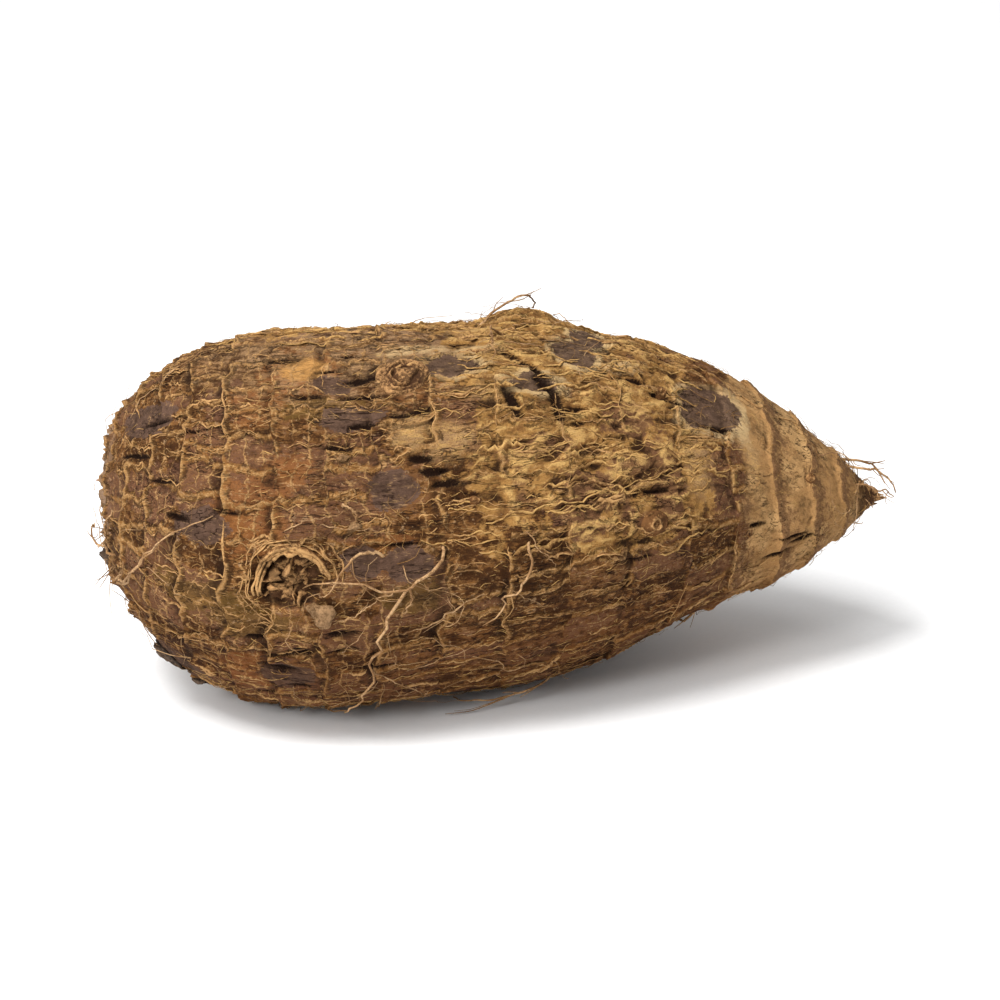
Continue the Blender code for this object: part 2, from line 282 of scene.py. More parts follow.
# Short black slits along the corm: share, angle, half length, half width
slitSpots = {
    "placed": (
        (0.320, 77, 2.2, 0.30), (0.330, 59, 2.6, 0.32), (0.266, 60, 2.2, 0.30), (0.332, 49, 2.0, 0.34),
        (0.304, 42, 1.9, 0.55), (0.136, 50, 2.0, 0.28), (0.101, 32, 1.8, 0.34), (0.125, 20, 1.6, 0.40),
        (0.260, -20, 1.8, 0.55), (0.236, -27, 2.0, 0.32), (0.228, -44, 2.2, 0.30),
        (0.395, 38, 1.6, 0.50), (0.409, 34, 1.8, 0.60),
        (0.423, 30, 2.0, 0.50), (0.690, 60, 1.4, 0.55), (0.060, 42, 2.2, 0.28), (0.660, 64, 3.2, 0.28),
        (0.345, 66, 2.0, 0.26), (0.296, 70, 1.6, 0.28),
    ),
    # cracks that cross the fibres: share and angle of each bend
    "cracks": (
        ((0.491, 58), (0.505, 48)), ((0.535, 62), (0.553, 55), (0.559, 47)),
        ((0.503, 74), (0.523, 68), (0.545, 63)), ((0.610, 118), (0.650, 106)),
        ((0.380, 204), (0.410, 192)),
    ),
    "scattered": 70,
    "seed": 5,
}


def scatterSlits():
    rng = random.Random(slitSpots["seed"])
    spots = list(slitSpots["placed"])
    for bends in slitSpots["cracks"]:
        for (u0, angle0), (u1, angle1) in zip(bends, bends[1:]):
            for share in np.linspace(0, 1, 9):
                spots.append((u0 + share * (u1 - u0), angle0 + share * (angle1 - angle0), 0.60, 0.30))
    for _ in range(slitSpots["scattered"]):
        u, degrees = rng.uniform(0.06, 0.9), rng.uniform(0, 360)
        spots.append((u, degrees, rng.uniform(1.0, 2.6), rng.uniform(0.16, 0.34)))
    return spots


def patchEdge(spots, u, angle):  # mm from the rim of the nearest patch, below 0 inside it
    nearest = np.full(np.shape(u), 9.0)
    for spotU, degrees, halfLength, halfWidth in spots:
        alongIt = (u - spotU) * form["length"] / halfLength
        across = around(angle, degrees) * girth(u) / halfWidth
        reach = (np.hypot(alongIt, across) - 1) * min(halfLength, halfWidth)
        nearest = np.minimum(nearest, reach)
    return nearest


def calmShare(u, angle):  # smooth places that carry no torn edges
    slate = smooth(0.5, -0.5, patchEdge(patchSpots["slate"], u, angle))
    orange = smooth(0.2, -1.0, patchEdge(patchSpots["orange"], u, angle))
    return np.maximum(slate, 0.6 * orange)


def matShare(u, angle, warp):  # where the bark is worn to a yellow mat of fibres
    front = smooth(0.40, 0.50, u + 0.05 * warp) * smooth(0.80, 0.68, u + 0.05 * warp)
    front = front * smooth(1.15, 0.75, np.abs(around(angle, 62) + 0.3 * warp))
    top = smooth(0.12, 0.26, u) * smooth(0.62, 0.5, u)
    top = top * smooth(0.50, 0.25, np.abs(around(angle, 112)) + 0.2 * warp)
    back = smooth(0.25, 0.35, u + 0.08 * warp) * smooth(0.66, 0.56, u + 0.08 * warp)
    back = back * smooth(0.8, 0.5, np.abs(around(angle, 215) + 0.4 * warp))
    return np.clip(np.maximum(np.maximum(front, 0.75 * top), 0.8 * back), 0, 1)


skinFacts = {
    "columns": 330,
    "rowGap": 0.55,
    "crowd": 0.55,  # how much closer the rows stand at a scar
    "lip": 0.46,
    "valley": 0.32,
    "edgeLip": 0.26,
    "plate": 0.20,  # how unevenly the scales stand
    "matRidge": 1.15,
    "wobble": 1.25,
    "craterAt": (0.250, 4),
    "craterRadius": 4.8,
    "craterDepth": 1.5,
}


def skinRows():  # arc, band, share of the band and band length of each row between the poles
    first = scars["first"]
    rows = [(arc, -1, arc / first, first) for arc in np.arange(0.6, first - 0.2, skinFacts["rowGap"])]
    for band, (start, end) in enumerate(zip(scarList, bandEnds[1:])):
        count = round((end - start) / skinFacts["rowGap"])
        for i in range(count):
            share = i / count - skinFacts["crowd"] * math.sin(math.tau * i / count) / math.tau
            rows.append((start + share * (end - start), band, share, end - start))
    return np.array(rows)


rowTable = skinRows()
columnAngles = np.arange(skinFacts["columns"]) / skinFacts["columns"] * math.tau


def chance(a, b):  # a repeatable number from 0 to 1 for each pair
    return np.modf(np.abs(np.sin(a * 12.9898 + b * 78.233)) * 43758.5453)[0]


def edgeFields():  # mm to the nearest torn edge, each scale's own number and its edge's strength
    shape = (len(rowTable), skinFacts["columns"])
    distance, tone, strength = np.full(shape, 3.0), np.full(shape, 0.5), np.zeros(shape)
    for r, (arc, band, share, _) in enumerate(rowTable):
        band = int(band)
        if band < 0:
            continue
        edges, width = edgeList[band], float(girth(shareAt(arc)))
        index = np.arange(len(edges))
        drift = edgeDrift(band, index, share) / max(width, 6)
        gap = (columnAngles[:, None] - (edges + drift)[None, :] + math.pi) % math.tau - math.pi
        nearest = np.abs(gap).argmin(1)
        signed = gap[np.arange(shape[1]), nearest]
        distance[r] = np.abs(signed) * width
        tone[r] = chance((nearest - (signed < 0)) % len(edges), band)
        strength[r] = chance(nearest + 50, band)
    return distance, tone, strength


def ringFields(angle):  # mm past the nearest scar, tailward above 0, and how torn that scar is there
    share, length = rowTable[:, 2][:, None], rowTable[:, 3][:, None]
    past, ahead = share * length, (1 - share) * length
    ring = np.where(past < ahead, past, -ahead) + 0 * angle
    number = np.where(past < ahead, rowTable[:, 1][:, None], rowTable[:, 1][:, None] + 1) + 0 * angle
    spot = np.stack([6 * np.cos(angle), 6 * np.sin(angle), 5.1 * number], -1)
    kept = 0.22 * smooth(0.55, 0.35, number / len(scarList))
    tear = noiseAt(spot, 1.0) + 0.5 * noiseAt(spot * 3, 1.0)
    return ring, tear - 0.55 * ringFade(number, angle) + kept


def ringFade(number, angle):  # above 0 where a scar has worn away
    spot = np.stack([2.2 * np.cos(angle), 2.2 * np.sin(angle), 1.7 * number], -1)
    share = np.clip(number / len(scarList), 0, 1)
    where = smooth(0.1, 0.4, share) * smooth(0.95, 0.75, share)
    return smooth(0.0, 0.3, noiseAt(spot, 1.0) + 0.12) * where


def grainHeight(flow, mat, tail):  # small relief that runs along the corm
    sway = 0.9 * noiseAt(flow, 3.4, 31.0)[..., None] * np.array([0.0, 1, 1])
    wrinkle = noiseAt(flow * np.array([0.28, 1, 1]), 0.95)
    coarse = noiseAt((flow + sway) * np.array([0.26, 1, 1]), 2.9, 9.0)
    second = noiseAt((flow + sway) * np.array([0.34, 1, 1]), 1.7, 21.0)
    fine = noiseAt(flow * np.array([0.6, 1, 1]), 0.7, 5.0)
    ridges = np.maximum(0.40 - np.abs(coarse) * 2.6, 0.24 - np.abs(second) * 1.9)
    height = (0.14 - 0.07 * tail) * wrinkle + 0.12 * fine
    height += mat * (skinFacts["matRidge"] * np.maximum(ridges, -0.22) + 0.12 * wrinkle)
    height += (1 - mat) * (1 - 0.7 * tail) * 0.30 * ridges
    return height + 0.25 * noiseAt(flow, 4.2, 13.0)


def makeSkinGrid():
    arcs = rowTable[:, 0][:, None]
    angle = columnAngles[None, :] + 0 * arcs
    arc = arcs + scarWave(arcs, columnAngles[None, :])
    wide = girth(shareAt(arcs))
    spot = np.stack([wide * np.cos(angle), wide * np.sin(angle), arcs * 0.35 + 0 * angle], -1)
    ends = np.clip(np.minimum(arcs, fullArc - arcs) / 8, 0, 1)
    arc = arc + skinFacts["wobble"] * ends * (noiseAt(spot, 3.6, 40.0) + 0.4 * noiseAt(spot, 1.5, 50.0))
    u = shareAt(arc)
    width = girth(u)
    plain, normal = plainPoint(arc, angle), outward(arc, angle)
    flow = np.stack([arc, width * np.cos(angle), width * np.sin(angle)], -1)
    warp = noiseAt(flow, 14.0, 3.0) + 0.6 * noiseAt(flow, 5.0, 7.0)
    mat = matShare(u, angle, warp)
    tail = smooth(0.74, 0.84, u + 0.03 * warp)
    band = rowTable[:, 1][:, None] + 0 * angle
    ring, tear = ringFields(angle)
    edge, tone, strength = edgeFields()

    slim = np.minimum(1.0, width / 14)
    calm = calmShare(u + 0.008 * warp, angle + 0.04 * warp)
    crownward = smooth(24, 8, arcs)
    lip = skinFacts["lip"] * np.clip(1 + 1.5 * tear, 0.05, 2) * (1 - 0.75 * mat) * (1 + 0.9 * crownward)
    height = lip * np.where(ring >= 0, np.exp(-np.maximum(ring, 0) / 1.3), bump(ring, 0.32))
    height -= skinFacts["valley"] * np.clip(1 + tear, 0.2, 2) * (1 - 0.6 * mat) * bump(ring + 0.95, 0.7)
    height += 0.45 * tail * bump(ring, 1.4)
    edge = edge + 1.2 * crownward + 2 * calm
    edgeLip = skinFacts["edgeLip"] * (0.3 + strength) * (1 - 0.8 * tail)
    height += edgeLip * bump(edge, 0.42) * (band >= 0)
    plate = skinFacts["plate"] * (tone * 2 - 1) * smooth(0, 0.6, edge)
    plate = plate * (1 - 0.7 * tail) * (1 - 0.7 * mat)
    sand = smooth(0.6, -0.8, patchEdge(patchSpots["sand"], u + 0.012 * warp, angle + 0.08 * warp))
    height = (height + grainHeight(flow, mat, tail)) * (1 - 0.35 * sand) * (1 - 0.8 * calm)
    height += 0.15 * sand - 0.15 * calm
    slit = patchEdge(scatterSlits(), u + 0.004 * warp, angle + 0.02 * warp)
    height -= 0.7 * smooth(0.35, -0.15, slit)
    craterU, craterAngle = skinFacts["craterAt"]
    fromCrater = np.hypot((u - craterU) * form["length"], around(angle, craterAngle) * width)
    radius = skinFacts["craterRadius"]
    height -= skinFacts["craterDepth"] * smooth(radius + 0.6, radius - 1.4, fromCrater)
    upper = 0.35 + 0.65 * smooth(-1, 3, around(angle, craterAngle) * width)
    for reach, tall in ((0.9, 0.75), (2.4, 0.45), (3.7, 0.3)):  # old leaf bases round the lost bud
        height += tall * upper * bump(fromCrater - radius - reach, 0.55)
    height *= slim

    swell = swelling(plain, u, angle)
    place = plain + normal * (swell + height + slim * plate)[..., None]
    lean = 0.35 * slim * (1 - mat) * (1 - calm) * bump(ring - 0.05, 0.3) * np.clip(1 + tear, 0.2, 2)
    place = place - lean[..., None] * np.array([1.0, 0, 0])  # the lips lean over towards the crown
    place[..., 2] = np.maximum(place[..., 2], 0)
    share = rowTable[:, 2][:, None] + 0 * angle
    fromEdge = np.where(band < 0, 3.0, edge + 1.6 * smooth(0.35, 0.1, strength))
    fields = {
        "flow": flow,
        "net": np.stack([np.abs(ring) + 2 * calm, fromEdge, tone], -1),
        "zones": np.stack([mat, tail, height], -1),
        "slitEdge": slit,
        "extra": np.stack([share, fromCrater, tear], -1),
    }
    for kind, (alongWarp, acrossWarp) in patches["warps"].items():
        spots = patchSpots[kind]
        fields[kind + "Edge"] = patchEdge(spots, u + alongWarp * warp, angle + acrossWarp * warp)
    return place, fields


skinPlaces, skinFields = makeSkinGrid()
crownPole = plainPoint(np.array([0.0]), np.array([0.0]))[0]
tailPole = plainPoint(np.array([fullArc]), np.array([0.0]))[0]
print("skin grid", skinPlaces.shape)


def paddedGrid():  # the skin's points with the poles as its first and last row
    columns = skinFacts["columns"]
    first = np.broadcast_to(crownPole, (1, columns, 3))
    last = np.broadcast_to(tailPole, (1, columns, 3))
    return np.concatenate([first, skinPlaces, last]), np.concatenate([[0], rowTable[:, 0], [fullArc]])


gridPlaces, gridArcs = paddedGrid()


def gridNormals():
    down = np.gradient(gridPlaces, axis=0)
    across = np.roll(gridPlaces, -3, 1) - np.roll(gridPlaces, 3, 1)
    down = down + np.roll(down, 2, 1) + np.roll(down, -2, 1)
    normal = np.cross(down, across)
    normal[0], normal[-1] = (-1, 0, 0), (1, 0, 0)
    return normal / np.maximum(np.linalg.norm(normal, axis=-1, keepdims=True), 1e-9)


gridNormal = gridNormals()


def sample(table, arc, angle):
    row = np.interp(arc, gridArcs, np.arange(len(gridArcs)))
    column = (angle / math.tau * skinFacts["columns"]) % skinFacts["columns"]
    r, c = np.floor(row).astype(int), np.floor(column).astype(int)
    fr, fc = (row - r)[..., None], (column - c)[..., None]
    r2, c2 = np.minimum(r + 1, len(gridArcs) - 1), (c + 1) % skinFacts["columns"]
    c = c % skinFacts["columns"]
    top = table[r, c] * (1 - fc) + table[r, c2] * fc
    low = table[r2, c] * (1 - fc) + table[r2, c2] * fc
    return top * (1 - fr) + low * fr


def onSkin(arc, angle, height=0.0):  # points that stand this high over the finished skin
    arc, angle, height = np.broadcast_arrays(arc, angle, height)
    place = sample(gridPlaces, arc, angle) + sample(gridNormal, arc, angle) * height[..., None]
    place[..., 2] = np.maximum(place[..., 2], 0.15)
    return place


def addVectorField(mesh, name, values):
    made = mesh.attributes.new(name, "FLOAT_VECTOR", "POINT")
    made.data.foreach_set("vector", np.asarray(values, np.float32).ravel())


def addNumberField(mesh, name, values):
    made = mesh.attributes.new(name, "FLOAT", "POINT")
    made.data.foreach_set("value", np.asarray(values, np.float32).ravel())


def finishPiece(name, mesh, material, places=None):
    if places is not None:
        mesh.vertices.foreach_set("co", (np.asarray(places, np.float32) * mm).ravel())
        mesh.update()
    piece = bpy.data.objects.new(name, mesh)
    bpy.context.scene.collection.objects.link(piece)
    mesh.materials.clear()
    mesh.materials.append(material)
    mesh.shade_smooth()
    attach(piece, body)
    print("made", name, len(mesh.polygons), "faces")
    return piece


def pointsOf(mesh):
    flat = np.zeros(len(mesh.vertices) * 3)
    mesh.vertices.foreach_get("co", flat)
    return flat.reshape(-1, 3)


def meshOf(name, bm):
    mesh = bpy.data.meshes.new(name)
    bm.to_mesh(mesh)
    bm.free()
    return mesh


def faceOutward(mesh, weld=0.0):
    bm = bmesh.new()
    bm.from_mesh(mesh)
    if weld:
        bmesh.ops.remove_doubles(bm, verts=bm.verts, dist=weld)
    bmesh.ops.recalc_face_normals(bm, faces=bm.faces)
    bm.to_mesh(mesh)
    bm.free()


def stripMesh(name, count, lengthwise, crosswise):  # many equal grids in one mesh
    bm = bmesh.new()
    bmesh.ops.create_grid(bm, x_segments=lengthwise, y_segments=crosswise, size=0.5)
    single = meshOf(name + "One", bm)
    bm = bmesh.new()
    for _ in range(count):
        bm.from_mesh(single)
    bpy.data.meshes.remove(single)
    mesh = meshOf(name, bm)
    each = (lengthwise + 1) * (crosswise + 1)
    plan = pointsOf(mesh)[:each] + 0.5
    return mesh, plan[:, 0], plan[:, 1]


def nodeGroup(name, inputs, outputs):
    group = bpy.data.node_groups.new(name, "ShaderNodeTree")
    for label, kind, value in inputs:
        socket = group.interface.new_socket(label, in_out="INPUT", socket_type=kind)
        if value is not None:
            socket.default_value = value
    for label, kind in outputs:
        group.interface.new_socket(label, in_out="OUTPUT", socket_type=kind)
    return group, group.nodes.new("NodeGroupInput"), group.nodes.new("NodeGroupOutput")


def put(tree, kind, inputs=None, **facts):  # a node, with its settings and its inputs
    made = tree.nodes.new(kind)
    for key, value in facts.items():
        setattr(made, key, value)
    for key, value in (inputs or {}).items():
        if isinstance(value, bpy.types.NodeSocket):
            tree.links.new(value, made.inputs[key])
        else:
            made.inputs[key].default_value = value
    return made


def maths(tree, operation, a, b=0.0, c=0.0, clamp=False):
    made = put(tree, "ShaderNodeMath", {0: a, 1: b}, operation=operation, use_clamp=clamp)
    if isinstance(c, bpy.types.NodeSocket):
        tree.links.new(c, made.inputs[2])
    elif operation in ("MULTIPLY_ADD", "COMPARE", "WRAP"):
        made.inputs[2].default_value = c
    return made.outputs[0]


def times(tree, a, b):
    return maths(tree, "MULTIPLY", a, b)


def plus(tree, a, b, clamp=False):
    return maths(tree, "ADD", a, b, clamp=clamp)


def minus(tree, a, b, clamp=False):
    return maths(tree, "SUBTRACT", a, b, clamp=clamp)


def bothWays(tree, noiseValue, reach):  # noise moved to either side of 0
    return times(tree, minus(tree, noiseValue, 0.5), reach)


def ramp(tree, value, low, high, outLow=0.0, outHigh=1.0):  # eased from one number to another
    facts = {"Value": value, "From Min": low, "From Max": high, "To Min": outLow, "To Max": outHigh}
    return put(tree, "ShaderNodeMapRange", facts, interpolation_type="SMOOTHSTEP").outputs[0]


def mix(tree, share, a, b, blend="MIX"):
    made = put(tree, "ShaderNodeMix", data_type="RGBA", blend_type=blend)
    for socket, value in zip((made.inputs[0], made.inputs[6], made.inputs[7]), (share, a, b)):
        if isinstance(value, bpy.types.NodeSocket):
            tree.links.new(value, socket)
        else:
            socket.default_value = value
    return made.outputs[2]


def grain(tree, vector, scale, detail=4.0, rough=0.6):  # noise, 0 to 1
    facts = {"Vector": vector, "Scale": scale, "Detail": detail, "Roughness": rough}
    return put(tree, "ShaderNodeTexNoise", facts, noise_dimensions="3D").outputs[0]


def stretched(tree, vector, ways):
    return put(tree, "ShaderNodeVectorMath", {0: vector, 1: ways}, operation="MULTIPLY").outputs[0]


def makeFibreGroup():  # long torn fibres: a height and a light-dark mask
    group, source, sink = nodeGroup(
        "torn fibres",
        [("Flow", "NodeSocketVector", None), ("Scale", "NodeSocketFloat", 1.0),
         ("Stretch", "NodeSocketFloat", 0.2)],
        [("Height", "NodeSocketFloat"), ("Light", "NodeSocketFloat")],
    )
    ways = put(group, "ShaderNodeCombineXYZ", {0: source.outputs["Stretch"], 1: 1.0, 2: 1.0}).outputs[0]
    bent = grain(group, source.outputs["Flow"], 0.35, 2.0)
    moved = {0: source.outputs["Flow"], 1: bent}
    shifted = put(group, "ShaderNodeVectorMath", moved, operation="ADD").outputs[0]
    run = stretched(group, shifted, ways)
    wide = grain(group, run, source.outputs["Scale"], 5.0, 0.65)
    closer = times(group, source.outputs["Scale"], 3.1)
    thin = grain(group, run, closer, 3.0, 0.6)
    both = plus(group, times(group, wide, 0.65), times(group, thin, 0.35))
    group.links.new(both, sink.inputs["Height"])
    group.links.new(ramp(group, both, 0.40, 0.62), sink.inputs["Light"])
    return group


def makeTornLineGroup():  # a ragged line where a distance passes zero
    group, source, sink = nodeGroup(
        "torn line",
        [("Distance", "NodeSocketFloat", 1.0), ("Flow", "NodeSocketVector", None),
         ("Width", "NodeSocketFloat", 0.3), ("Ragged", "NodeSocketFloat", 0.5),
         ("Scale", "NodeSocketFloat", 1.2)],
        [("Line", "NodeSocketFloat")],
    )
    wander = minus(group, grain(group, source.outputs["Flow"], source.outputs["Scale"], 4.0, 0.7), 0.5)
    wander = times(group, wander, source.outputs["Ragged"])
    bent = maths(group, "ABSOLUTE", plus(group, source.outputs["Distance"], wander))
    line = minus(group, 1.0, maths(group, "DIVIDE", bent, source.outputs["Width"]), clamp=True)
    group.links.new(line, sink.inputs["Line"])
    return group


def makeSoilShadeGroup():  # soil and soot held in the low places, with painted shade there too: the colour darkens where the relief sinks
    group, source, sink = nodeGroup(
        "soil and shade in hollows",
        [("Colour", "NodeSocketColor", (0.5, 0.5, 0.5, 1)),
         ("SoilShade", "NodeSocketColor", (0.02, 0.012, 0.007, 1)), ("Depth", "NodeSocketFloat", 0.0),
         ("Flow", "NodeSocketVector", None), ("Amount", "NodeSocketFloat", 0.7)],
        [("Colour", "NodeSocketColor"), ("Share", "NodeSocketFloat")],
    )
    patchy = grain(group, source.outputs["Flow"], 0.9, 5.0, 0.7)
    low = plus(group, source.outputs["Depth"], bothWays(group, patchy, 0.8))
    share = times(group, ramp(group, low, 0.10, -0.45), source.outputs["Amount"])
    colour = mix(group, share, source.outputs["Colour"], source.outputs["SoilShade"])
    group.links.new(colour, sink.inputs["Colour"])
    group.links.new(share, sink.inputs["Share"])
    return group


fibreGroup, tornLineGroup, soilShadeGroup = makeFibreGroup(), makeTornLineGroup(), makeSoilShadeGroup()


def useGroup(tree, group, inputs):
    made = tree.nodes.new("ShaderNodeGroup")
    made.node_tree = group
    for key, value in inputs.items():
        if isinstance(value, bpy.types.NodeSocket):
            tree.links.new(value, made.inputs[key])
        else:
            made.inputs[key].default_value = value
    return made


def tornLine(tree, distance, flow, width, raggedness):
    facts = {"Distance": distance, "Flow": flow, "Width": width, "Ragged": raggedness}
    return useGroup(tree, tornLineGroup, facts).outputs[0]


def newMaterial(name, roughness=0.8, specular=0.25):
    material = bpy.data.materials.new(name)
    material.use_nodes = True
    shader = material.node_tree.nodes["Principled BSDF"]
    shader.inputs["Roughness"].default_value = roughness
    shader.inputs["Specular IOR Level"].default_value = specular
    return material, material.node_tree, shader


def field(tree, name, output="Vector"):
    made = put(tree, "ShaderNodeAttribute", attribute_name=name, attribute_type="GEOMETRY")
    return made.outputs[output]


def setBump(tree, shader, height, strength, distance):
    facts = {"Height": height, "Strength": strength, "Distance": distance * mm}
    tree.links.new(put(tree, "ShaderNodeBump", facts).outputs[0], shader.inputs["Normal"])


barkTones = {
    "umber": (0.060, 0.023, 0.007, 1),
    "sienna": (0.250, 0.108, 0.031, 1),
    "mauve": (0.152, 0.069, 0.037, 1),
    "gold": (0.380, 0.192, 0.060, 1),
    "fringe": (0.560, 0.325, 0.138, 1),
    "dust": (0.365, 0.220, 0.110, 1),
    "sheath": (0.345, 0.222, 0.140, 1),
    # near black, for real cracks and for painted shade in gaps and beside torn edges
    "crackAndShade": (0.014, 0.005, 0.002, 1),
    "rust": (0.275, 0.104, 0.031, 1),
    "orange": (0.570, 0.288, 0.086, 1),
    "olive": (0.150, 0.082, 0.020, 1),
    "mat": (0.380, 0.196, 0.057, 1),
    "matBrown": (0.215, 0.100, 0.031, 1),
    # the pale tone also paints highlights on the mat's ridges, and the dark tone paints shade in its
    # troughs
    "matPaleAndHighlight": (0.610, 0.365, 0.125, 1),
    "matTroughShade": (0.085, 0.033, 0.009, 1),
    "tail": (0.410, 0.216, 0.080, 1),
    "tailLight": (0.580, 0.342, 0.142, 1),
    "pale": (0.640, 0.425, 0.205, 1),
    "tailBand": (0.185, 0.088, 0.038, 1),
    "sand": (0.420, 0.250, 0.112, 1),
    "slate": (0.140, 0.080, 0.054, 1),
    "slateRim": (0.680, 0.470, 0.230, 1),
    # multiplied in to paint shade on the underside
    "belly": (0.64, 0.48, 0.34, 1),
    # near black, for soil and for painted shade in the low places of the relief
    "soilShade": (0.022, 0.010, 0.005, 1),
    "shoot": (0.300, 0.130, 0.125, 1),
}


def ragged(tree, value, noiseValue, reach, low, high):  # a mask with a torn edge
    wander = bothWays(tree, noiseValue, reach)
    return ramp(tree, plus(tree, value, wander), low, high)


def thinLines(tree, vector, ways, scale, width, gate):  # long broken lines along the corm
    run = stretched(tree, vector, ways)
    away = maths(tree, "ABSOLUTE", minus(tree, grain(tree, run, scale, 3.0, 0.6), 0.5))
    return times(tree, ramp(tree, away, width, 0.2 * width), gate)


def tinted(tree, colour, share, tone, most):  # a colour with one of the bark's tones laid over it
    return mix(tree, times(tree, share, most), colour, barkTones[tone])


def makeBark():
    material, tree, shader = newMaterial("bark", 0.88, 0.08)
    tones = barkTones
    flow = field(tree, "flow")
    net = put(tree, "ShaderNodeSeparateXYZ", {0: field(tree, "net")}).outputs
    zones = put(tree, "ShaderNodeSeparateXYZ", {0: field(tree, "zones")}).outputs
    extra = put(tree, "ShaderNodeSeparateXYZ", {0: field(tree, "extra")}).outputs
    along = put(tree, "ShaderNodeSeparateXYZ", {0: flow}).outputs
    coarse = useGroup(tree, fibreGroup, {"Flow": flow, "Scale": 1.3, "Stretch": 0.24}).outputs
    fine = useGroup(tree, fibreGroup, {"Flow": flow, "Scale": 3.6, "Stretch": 0.32}).outputs
    speckle = grain(tree, flow, 3.4, 5.0, 0.75)
    blotch = grain(tree, flow, 0.55, 4.0, 0.65)
    cloud = grain(tree, flow, 0.13, 4.0, 0.6)
    worn = times(tree, maths(tree, "MAXIMUM", times(tree, extra[2], -1.0), 0.0), 3.0)
    border = maths(tree, "MINIMUM", plus(tree, plus(tree, net[0], 0.25), worn), net[1])

    tone = plus(tree, times(tree, coarse["Height"], 0.6), times(tree, blotch, 0.5))
    tone = plus(tree, tone, bothWays(tree, net[2], 0.16))
    colour = mix(tree, ramp(tree, tone, 0.45, 0.62), tones["umber"], tones["sienna"])
    inside = ragged(tree, border, speckle, 1.6, 0.45, 1.0)
    mauve = ragged(tree, field(tree, "mauveEdge", "Fac"), blotch, 7.0, 1.6, 0.6)
    scaleTone = plus(tree, net[2], bothWays(tree, blotch, 1.8))
    mauve = maths(tree, "MAXIMUM", mauve, ramp(tree, scaleTone, 0.38, 0.72))
    mauve = times(tree, times(tree, mauve, inside), ramp(tree, fine["Height"], 0.38, 0.52, 0.3, 0.95))
    colour = mix(tree, mauve, colour, tones["mauve"])
    olive = ragged(tree, field(tree, "oliveEdge", "Fac"), blotch, 5.0, 0.8, -0.1)
    colour = tinted(tree, colour, olive, "olive", 0.65)
    rust = ragged(tree, field(tree, "rustEdge", "Fac"), coarse["Height"], 8.0, 0.6, -0.4)
    colour = tinted(tree, colour, rust, "rust", 0.65)

    film = ragged(tree, border, coarse["Height"], 3.6, 0.9, 0.1)
    colour = tinted(tree, colour, film, "gold", 0.45)
    strands = times(tree, ramp(tree, fine["Height"], 0.52, 0.60), ramp(tree, blotch, 0.40, 0.60))
    colour = tinted(tree, colour, strands, "gold", 0.5)
    flecks = ramp(tree, grain(tree, flow, 1.15, 3.0, 0.6), 0.60, 0.68)
    colour = mix(tree, times(tree, flecks, times(tree, cloud, 1.3)), colour, tones["dust"])
    pits = ramp(tree, grain(tree, flow, 1.5, 4.0, 0.65), 0.42, 0.35)
    colour = tinted(tree, colour, pits, "umber", 0.6)

    brown = plus(tree, times(tree, blotch, 0.7), times(tree, coarse["Height"], 0.35))
    brown = ramp(tree, brown, 0.44, 0.58)
    dusty = plus(tree, along[2], times(tree, coarse["Height"], 26.0))
    dusty = ramp(tree, dusty, 38.0, 47.0, 0.0, 0.75)
    dusty = times(tree, dusty, ramp(tree, blotch, 0.38, 0.58, 0.15, 1.0))
    colour = mix(tree, dusty, colour, tones["dust"])

    matColour = mix(tree, brown, tones["matBrown"], tones["mat"])
    inMauve = ragged(tree, field(tree, "mauveEdge", "Fac"), blotch, 6.0, 1.2, 0.2)
    inMauve = maths(tree, "MAXIMUM", inMauve, ramp(tree, cloud, 0.56, 0.66))
    matColour = tinted(tree, matColour, inMauve, "mauve", 0.75)
    # painted light and shade on the mat: paler pale fibre with painted highlight where the relief
    # stands high, painted shade in the low troughs
    high = plus(tree, zones[2], bothWays(tree, speckle, 0.7))
    matColour = mix(tree, ramp(tree, high, 0.14, 0.50), matColour, tones["matPaleAndHighlight"])
    matColour = mix(tree, times(tree, ramp(tree, high, -0.10, -0.34), 0.8), matColour, tones["matTroughShade"])
    matHere = ragged(tree, zones[0], blotch, 1.5, 0.35, 0.55)
    colour = mix(tree, matHere, colour, matColour)
    tailTone = plus(tree, extra[0], bothWays(tree, blotch, 1.6))
    tailTone = ragged(tree, tailTone, coarse["Height"], 1.4, 0.15, 0.50)
    tailColour = mix(tree, tailTone, tones["tailBand"], tones["tail"])
    lighter = times(tree, ramp(tree, cloud, 0.42, 0.62), tailTone)
    tailColour = mix(tree, lighter, tailColour, tones["tailLight"])
    tailColour = mix(tree, times(tree, fine["Light"], 0.30), tailColour, tones["tailLight"])
    colour = mix(tree, ragged(tree, zones[1], blotch, 0.9, 0.35, 0.6), colour, tailColour)

    sand = ragged(tree, field(tree, "sandEdge", "Fac"), blotch, 6.0, 1.0, -2.2)
    sandColour = mix(tree, ramp(tree, coarse["Height"], 0.44, 0.62), tones["sand"], tones["matPaleAndHighlight"])
    sand = times(tree, sand, ramp(tree, speckle, 0.36, 0.52, 0.35, 0.85))
    colour = mix(tree, sand, colour, sandColour)

    pale = ragged(tree, field(tree, "paleEdge", "Fac"), blotch, 5.0, 0.8, -0.9)
    colour = tinted(tree, colour, pale, "pale", 0.8)
    orange = ragged(tree, field(tree, "orangeEdge", "Fac"), coarse["Height"], 5.0, -0.2, -2.2)
    colour = tinted(tree, colour, orange, "orange", 0.9)
    tip = plus(tree, along[0], times(tree, blotch, 9.0))
    colour = tinted(tree, colour, ramp(tree, tip, fullArc - 3.5, fullArc - 0.5), "umber", 0.8)

